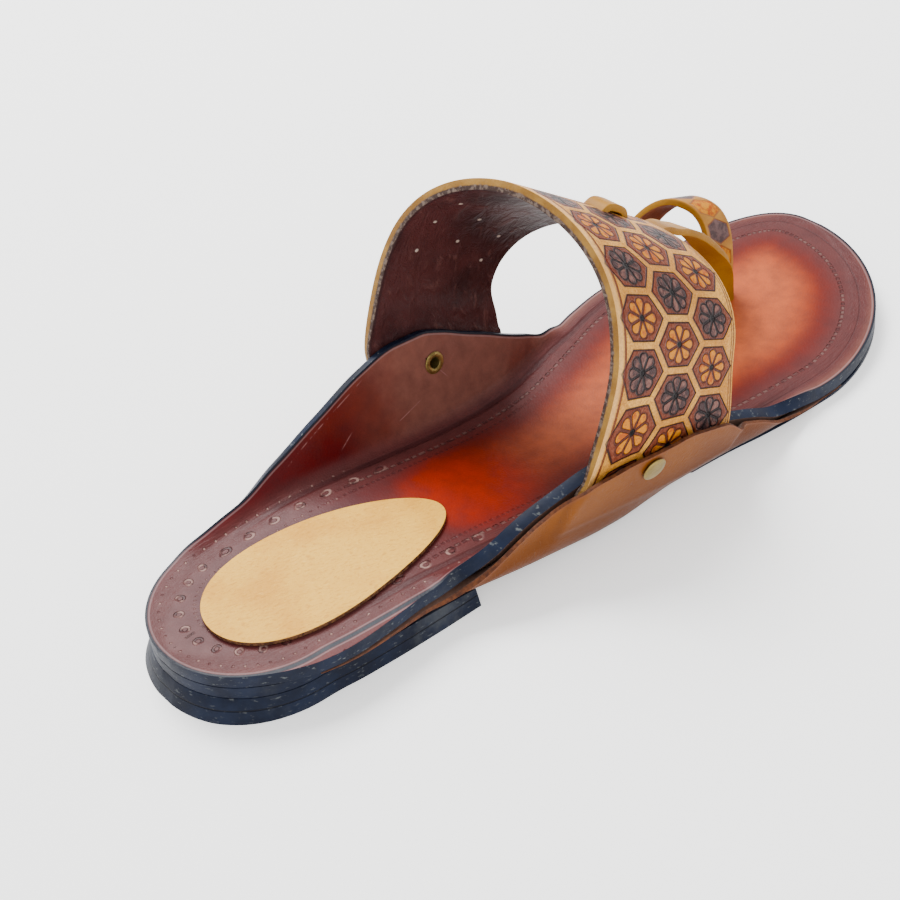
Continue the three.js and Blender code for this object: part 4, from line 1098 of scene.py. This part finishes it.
recipe = Recipe("waxed_edge")
fuzz = recipe.noise(800.0, 4.0, 0.65)
clouds = recipe.noise(120.0, 3.0)
tone = recipe.mix(clouds.ramp(0.35, 0.65), (0.19, 0.085, 0.011), (0.28, 0.145, 0.026))
tone = recipe.mix(fuzz.ramp(0.55, 0.75) * 0.5, tone, (0.16, 0.085, 0.030))
layer = (recipe.attribute("depth") + (fuzz - 0.5) * 0.25).ramp(0.50, 0.66)
under = recipe.mix(fuzz.ramp(0.45, 0.6), (0.035, 0.018, 0.014), (0.130, 0.090, 0.070))
tone = recipe.mix(layer, tone, under)
waxed_edge = recipe.finish(tone, 0.45 + fuzz * 0.2, fuzz, 0.0004, shine=0.2)
print("lining with", len(PINS), "pin holes")

# %% [markdown]
# The strap's outer face is laid along thirteen lines from one tip to the other, then its wall is set
# inwards, thinner where it dives into the ears' pockets, and the fine flat grid is laid on it.

# %% Strap
STRAP_STEPS, STRAP_ROWS, STRAP_LINES = 230, 45, 13
PATTERN_START, PATTERN_SLANT = 80.1, 3.2    # millimetres along the rear edge, and more in front
CELL_REAR, CELL_WIDENS = 13.8, 1.75         # a cell's length at the rear edge, and more in front
lines = np.array([[list(p) for p in strap_line(v, STRAP_STEPS)]
                  for v in spread(STRAP_LINES, 0, 1)])
places = np.linspace(0, STRAP_LINES - 1, STRAP_ROWS)
low = np.minimum(places.astype(int), STRAP_LINES - 2)
share = (places - low)[:, None, None]
outer = (lines[low] * (1 - share) + lines[low + 1] * share).transpose(1, 0, 2)
normals = sheet_normals(outer)
centre = outer * (0, 1, 0) + (0, 0, 2 * HEEL_HEIGHT)
facing = np.sign(((outer - centre) * normals).sum(axis=2, keepdims=True))
walls = np.array([[strap_wall(Vector(p)) for p in row] for row in outer])
inner = outer - normals * facing * walls[:, :, None]

along_mm = lengths_along(outer[:, STRAP_ROWS // 2])
steps = np.linalg.norm(np.diff(outer, axis=1), axis=2)
rear_mm = np.concatenate([np.zeros((STRAP_STEPS, 1)), np.cumsum(steps, axis=1)], axis=1)
front_mm = rear_mm[:, -1:] - rear_mm
blank = np.zeros((STRAP_STEPS, STRAP_ROWS))
v_share = blank + np.linspace(0, 1, STRAP_ROWS)
phase = along_mm[:, None] - PATTERN_START - PATTERN_SLANT * v_share
phase = phase / (CELL_REAR + CELL_WIDENS * v_share)
arch_share = blank + (along_mm / along_mm[-1])[:, None]
holes = round_rivet(outer, "medial") | round_rivet(outer, "lateral")
strap = walled_sheet("carved_strap", outer, inner,
                     {"phase": phase, "across": v_share, "from_rear": rear_mm,
                      "from_front": front_mm, "arch_share": arch_share},
                     [carved_leather, lining, waxed_edge], 0.9, holes)
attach(strap, "root")
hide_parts("instep_strap")
print("strap is", round(float(along_mm[-1])), "mm long on its middle line")

# %% [markdown]
# The toe loop is carved like the strap, with smaller hexagons and no flowers. Its inner face is dark
# brown and its cut edges are plain ochre.

# %% Toe loop finishes
LOOP_WIDTH, LOOP_CELL, LOOP_SHIFT = 12.4, 9.45, 20.69
recipe = Recipe("carved_loop")
along = recipe.attribute("along")
across = recipe.attribute("across")
clouds = recipe.noise(70.0, 4.0)
blots = recipe.noise(420.0, 4.0, 0.65)
speck = recipe.noise(1400.0, 3.0)
tone = recipe.mix(clouds.ramp(0.35, 0.65), (0.30, 0.125, 0.016), (0.44, 0.210, 0.036))
shifted = along / LOOP_CELL + LOOP_SHIFT
along_cell = shifted.part() - 0.5
is_plum = ((shifted.whole() * 0.5).part() * 2.0).least(1.0)
ring = hexagon(across / LOOP_WIDTH * 1.06, along_cell * 0.98)
field = ring.ramp(0.415, 0.385)
edge = ring.band(0.400, 0.014, 0.03)
amber = recipe.mix(blots.ramp(0.42, 0.62), (0.48, 0.180, 0.001), (0.32, 0.055, 0.001))
dusk = recipe.mix(blots.ramp(0.38, 0.66), (0.050, 0.026, 0.027), (0.13, 0.070, 0.066))
tone = recipe.mix(field, tone, recipe.mix(is_plum, amber, dusk))
tone = recipe.mix(edge * 0.55, tone, (0.22, 0.065, 0.020))
height = blots * 0.25 + speck * 0.1 - field * 0.6
loop_leather = recipe.finish(tone, blots * 0.2 + 0.36, height, 0.0005, shine=0.14)

recipe = Recipe("brown_back")
clouds = recipe.noise(80.0, 4.0)
fuzz = recipe.noise(900.0, 3.0)
tone = recipe.mix(clouds.ramp(0.35, 0.65), (0.095, 0.028, 0.012), (0.20, 0.068, 0.024))
brown_back = recipe.finish(tone, 0.5 + fuzz * 0.2, fuzz, 0.0003)

recipe = Recipe("ochre_leather")
clouds = recipe.noise(55.0, 4.0)
fine = recipe.noise(700.0, 4.0)
grain = recipe.cells(1700.0)
tone = recipe.mix(clouds.ramp(0.3, 0.7), (0.22, 0.088, 0.003), (0.33, 0.150, 0.008))
ochre = recipe.finish(tone, fine * 0.2 + 0.40, grain * 0.12 + fine * 0.2, 0.0005, shine=0.15)
print("finishes for the loop and the lace are ready")

# %% Toe loop
LOOP, LOOP_SPAN, LOOP_RISE = 2.4, 33.5, 32.2
LOOP_STEPS, LOOP_ROWS = 110, 12
LOOP_ARCH = [(0.0, 0.0), (0.005, 0.36), (0.035, 0.65), (0.09, 0.81), (0.18, 0.925), (0.31, 0.99),
             (0.46, 1.0), (0.62, 0.93), (0.78, 0.78), (0.9, 0.58), (0.975, 0.33), (1.0, 0.0)]
LOOP_X, LOOP_ALONG = -9.0, 0.832
LOOP_YAW, LOOP_LEAN, LOOP_SLOPE = math.radians(25), math.radians(10), math.radians(20)
loop_foot = Vector((LOOP_X, LOOP_ALONG * LENGTH, footbed(LOOP_ALONG * LENGTH)))


def loop_point(across_mm, up_mm):
    ahead = up_mm * math.tan(LOOP_LEAN)
    return loop_foot + Vector((-math.cos(LOOP_YAW) * across_mm - math.sin(LOOP_YAW) * ahead,
                               -math.sin(LOOP_YAW) * across_mm + math.cos(LOOP_YAW) * ahead, up_mm))


front_line = thread([loop_point(a * LOOP_SPAN, u * LOOP_RISE) for a, u in LOOP_ARCH], LOOP_STEPS + 1)
level = Vector((0, -LOOP_WIDTH * math.cos(LOOP_SLOPE), 0))
sloped = Vector((0, -math.cos(LOOP_SLOPE), math.sin(LOOP_SLOPE))) * LOOP_WIDTH
rear_line = []
for point in front_line:
    share_up = clip((point.z - loop_foot.z) / (0.4 * LOOP_RISE))
    rear_line.append(point + level.lerp(sloped, share_up))
core = loop_point(0.45 * LOOP_SPAN, 0.45 * LOOP_RISE)
outer, inner = [], []
for k, (front_point, rear_point) in enumerate(zip(front_line, rear_line)):
    travel = front_line[min(k + 1, LOOP_STEPS)] - front_line[max(k - 1, 0)]
    inward = travel.cross(rear_point - front_point).normalized()
    inward = inward * LOOP if inward.dot(core - front_point) > 0 else inward * -LOOP
    row = [front_point.lerp(rear_point, share) for share in spread(LOOP_ROWS + 1, 0, 1)]
    outer.append([list(p) for p in row])
    inner.append([list(p + inward) for p in row])


def sunk(row):
    return [[p[0], p[1], footbed(p[1]) - (TOP_SOLE - GAP)] for p in row]


outer = np.array([sunk(outer[0])] + outer + [sunk(outer[-1])])
inner = np.array([sunk(inner[0])] + inner + [sunk(inner[-1])])
loop_mm, blank = lengths_along(outer[:, 0]), np.zeros(outer.shape[:2])
facts = {"along": blank + loop_mm[:, None],
         "across": blank + np.linspace(-0.5, 0.5, LOOP_ROWS + 1) * LOOP_WIDTH}
loop = walled_sheet("carved_loop", outer, inner, facts, [loop_leather, brown_back, ochre], 0.6)
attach(loop, "root")
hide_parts("toe_loop")
print("loop is", round(float(loop_mm[-1])), "mm long on its front edge")

# %% [markdown]
# The lace is one ochre-brown thong: a short tail under the strap, one stitch over its top, then down
# between the first two toes, turning edge-on as it goes into the sole.

# %% Lace
LACE, LACE_WIDTH, STITCH, LACE_TAIL = 2.2, 8.0, 11.0, 5.0
LACE_STEPS, LACE_ROWS = 168, 8
LACE_ROUTE = [(0.676, 52.3, 0), (0.698, 48.1, 0), (0.721, 43.8, 0.03), (0.747, 37.3, 0.1),
              (0.776, 27.3, 0.25), (0.794, 19.6, 0.45), (0.804, 12.3, 0.75), (0.808, 6.2, 0.95),
              (0.809, 1, 1), (0.809, -2.9, 1)]
face = [strap_line(v, 46) for v in spread(5, 0, 1)]
lace_row = 21    # of the strap's 46 places, near the top of its arch
lace_rear, lace_front = face[0][lace_row], face[4][lace_row]
lace_travel = (lace_front - lace_rear).normalized()
lace_up = (face[3][lace_row] - face[1][lace_row]).cross(
    face[2][lace_row + 1] - face[2][lace_row - 1]).normalized()
if lace_up.z < 0:
    lace_up = -lace_up
lace_centre = lace_rear.lerp(lace_front, 0.66) - lace_up * (STRAP / 2)
lace_side = lace_travel.cross(lace_up).normalized()
below, above = -(STRAP / 2 + GAP + LACE / 2 + 0.2), STRAP / 2 + LACE / 2 + 2 * GAP
stitched = [(-STITCH / 2 - LACE_TAIL, below), (-STITCH / 2 - LACE_TAIL / 2, below),
            (-STITCH / 2, 0), (-STITCH / 3.4, above * 0.85), (0, above),
            (STITCH / 3.4, above * 0.85), (STITCH / 2, 0), (STITCH / 2 + 3, below),
            (STITCH / 2 + 7, below - 1.5)]
stitched = [lace_centre + lace_travel * a + lace_up * u for a, u in stitched]
start, foot_y = stitched[-1], LACE_ROUTE[-1][0] * LENGTH
foot_x = LOOP_X + 2 * GAP + LACE / 2
route = []
for share_y, up_mm, _ in LACE_ROUTE:
    y = share_y * LENGTH
    x = lerp(start.x, foot_x, clip((y - start.y) / (foot_y - start.y)))
    route.append(Vector((x, y, footbed(y) + up_mm)))
path = thread(stitched + route, LACE_STEPS + 1)
flat_part = len(stitched) / (len(stitched) + len(route) - 1)
turns = [0] * len(stitched) + [row[2] for row in LACE_ROUTE]
outer, inner = [], []
for k, point in enumerate(path):
    place = k / LACE_STEPS * (len(turns) - 1)
    low_turn = min(int(place), len(turns) - 2)
    angle = lerp(turns[low_turn], turns[low_turn + 1], place - low_turn) * math.pi / 2
    twist = smooth(flat_part, flat_part + 0.2, k / LACE_STEPS)
    width_way = lace_side.lerp(Vector((1, 0.15, 0)), twist)
    width_way = width_way * math.cos(angle) + Vector((0, math.sin(angle), 0))
    travel = (path[min(k + 1, LACE_STEPS)] - path[max(k - 1, 0)]).normalized()
    width_way = (width_way - travel * travel.dot(width_way)).normalized()
    normal = travel.cross(width_way).normalized()
    row = [point + width_way * (LACE_WIDTH * (j / LACE_ROWS - 0.5)) for j in range(LACE_ROWS + 1)]
    outer.append([list(p + normal * (LACE / 2)) for p in row])
    inner.append([list(p - normal * (LACE / 2)) for p in row])
lace = walled_sheet("ochre_lace", np.array(outer), np.array(inner), {}, [ochre, ochre, ochre], 0.5)
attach(lace, "root")
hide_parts("toe_lace")
print("lace is", round(float(lengths_along(np.array(path))[-1])), "mm long")

# %% [markdown]
# The heel pad is a thin egg of pale natural hide with its grain running aslant, glued on the footbed.
# Its cut edge is dark from the knife and the glue.

# %% Heel pad
recipe = Recipe("pale_hide")
x, y, z = recipe.parts(recipe.place)
slanted, crossed = x * 0.35 + y * 0.94, x * 0.94 - y * 0.35
clouds = recipe.noise(40.0, 3.0)
pores = recipe.noise(1.0, 4.0, 0.62, recipe.vector(slanted * 620.0, crossed * 1250.0, z), 0.6)
bands = recipe.noise(1.0, 3.0, 0.5, recipe.vector(slanted * 26.0, crossed * 170.0, z))
tone = recipe.mix(clouds.ramp(0.35, 0.65), (0.64, 0.290, 0.014), (0.76, 0.400, 0.036))
tone = recipe.mix(pores.ramp(0.50, 0.68) * 0.5, tone, (0.48, 0.185, 0.008))
tone = recipe.mix(pores.ramp(0.42, 0.28) * 0.4, tone, (0.88, 0.54, 0.090))
tone = recipe.mix(bands.ramp(0.58, 0.74) * 0.35, tone, (0.54, 0.205, 0.008))
pale_hide = recipe.finish(tone, pores * 0.15 + 0.46, pores * 0.5 + bands * 0.2, 0.0005, shine=0.2)

recipe = Recipe("pad_edge")
fuzz = recipe.noise(700.0, 4.0)
tone = recipe.mix(fuzz.ramp(0.35, 0.65), (0.055, 0.018, 0.008), (0.17, 0.070, 0.025))
pad_edge = recipe.finish(tone, 0.6, fuzz, 0.0003)

PAD, PAD_LENGTH, PAD_HALF_WIDTH = 1.2, 78.0, 19.5
PAD_X, PAD_Y, PAD_TURN = 6.0, 52.9, math.radians(4)


def pad_row(share_along, height):
    width = PAD_HALF_WIDTH * math.sqrt(max(0.0, 1 - share_along ** 2)) * \
        (1.02 - 0.26 * share_along + 0.05 * share_along ** 2)
    a = share_along * PAD_LENGTH / 2
    row = []
    for k in range(21):
        b = width * (k / 10 - 1)
        px = PAD_X + a * math.sin(PAD_TURN) + b * math.cos(PAD_TURN)
        py = PAD_Y + a * math.cos(PAD_TURN) - b * math.sin(PAD_TURN)
        row.append((px, py, footbed(py) + height))
    return row


shares = [0.999 * math.sin(k * math.pi / 2) for k in spread(81, -1, 1)]
pad = walled_sheet("pale_pad", np.array([pad_row(s, GAP + PAD) for s in shares]),
                   np.array([pad_row(s, GAP) for s in shares]), {}, [pale_hide, pad_edge, pad_edge], 0.25)
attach(pad, "root")
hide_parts("heel_pad")

# %% [markdown]
# Each rivet is a hollow brass one: a slightly domed cap outside the ear and a rolled eye inside the
# wing. A disc of rings is pushed into its turned profile. The brass is dull, with darker spots.

# %% Rivets
recipe = Recipe("dull_brass")
clouds = recipe.noise(160.0, 4.0)
spots = recipe.noise(900.0, 3.0)
tone = recipe.mix(clouds.ramp(0.35, 0.65), (0.20, 0.140, 0.036), (0.30, 0.220, 0.070))
tone = recipe.mix(spots.ramp(0.60, 0.75) * 0.6, tone, (0.10, 0.065, 0.020))
brass = recipe.finish(tone, clouds * 0.25 + 0.26, spots, 0.0002, metallic=0.85)

RIVET_HEAD, FLANGE_RADIUS, EYE_RADIUS = 0.6, 3.6, 1.9
RIVET_LENGTH = TOP_SOLE + GAP + STRAP_SKIVED + POCKET_ROOM + EAR
EYE = [(EYE_RADIUS, 0.6), (2.15, 0.85), (2.75, 1.0), (3.3, 0.75), (FLANGE_RADIUS, 0.35)]
CAP = [(1.0, 0.3), (0.9, 0.65), (0.6, 0.93), (0.0, 1.0)]
PROFILE = [(0.0, RIVET_LENGTH - 1), (EYE_RADIUS, RIVET_LENGTH - 1)]
PROFILE += [(radius, -share * RIVET_HEAD) for radius, share in EYE]
PROFILE += [(FLANGE_RADIUS, -GAP), (SHANK_RADIUS, -GAP), (SHANK_RADIUS, RIVET_LENGTH + GAP)]
PROFILE += [(CAP_RADIUS, RIVET_LENGTH + GAP)]
PROFILE += [(r * CAP_RADIUS, RIVET_LENGTH + GAP + share * RIVET_HEAD) for r, share in CAP]
TURNS_ROUND = 48


def rivet_on(side):
    origin, axis = rivet_line(side)
    first = axis.cross(Vector((0, 0, 1))).normalized()
    second = axis.cross(first)
    bpy.ops.object.select_all(action="DESELECT")
    bpy.ops.mesh.primitive_grid_add(x_subdivisions=len(PROFILE) - 1, y_subdivisions=TURNS_ROUND,
                                    size=1.0)
    rivet = bpy.context.object
    rivet.name = side + "_brass_rivet"
    for vertex in rivet.data.vertices:
        radius, depth = PROFILE[round((vertex.co.x + 0.5) * (len(PROFILE) - 1))]
        angle = (vertex.co.y + 0.5) * 2 * math.pi
        place = origin + axis * depth + (first * math.cos(angle) + second * math.sin(angle)) * radius
        vertex.co = row_place(place)
    bpy.ops.object.mode_set(mode="EDIT")
    bpy.ops.mesh.select_all(action="SELECT")
    bpy.ops.mesh.remove_doubles(threshold=0.00002)
    bpy.ops.mesh.normals_make_consistent(inside=False)
    bpy.ops.object.mode_set(mode="OBJECT")
    bpy.ops.object.shade_smooth_by_angle(angle=math.radians(40))
    rivet.data.materials.append(brass)
    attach(rivet, "root")
    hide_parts("rivet_" + side)
    print(rivet.name, len(rivet.data.polygons), "faces")


for side in SIDES:
    rivet_on(side)

# %% [markdown]
# The floor is matt white paper that gives a little light of its own, as a lit backdrop does.

# %% Paper
recipe = Recipe("paper")
tone = recipe.mix(recipe.noise(3.0), (0.93, 0.93, 0.925), (0.95, 0.95, 0.945))
floor.data.materials.append(recipe.finish(tone, 0.9, shine=0.2, glow=0.6))
print("paper on the floor")
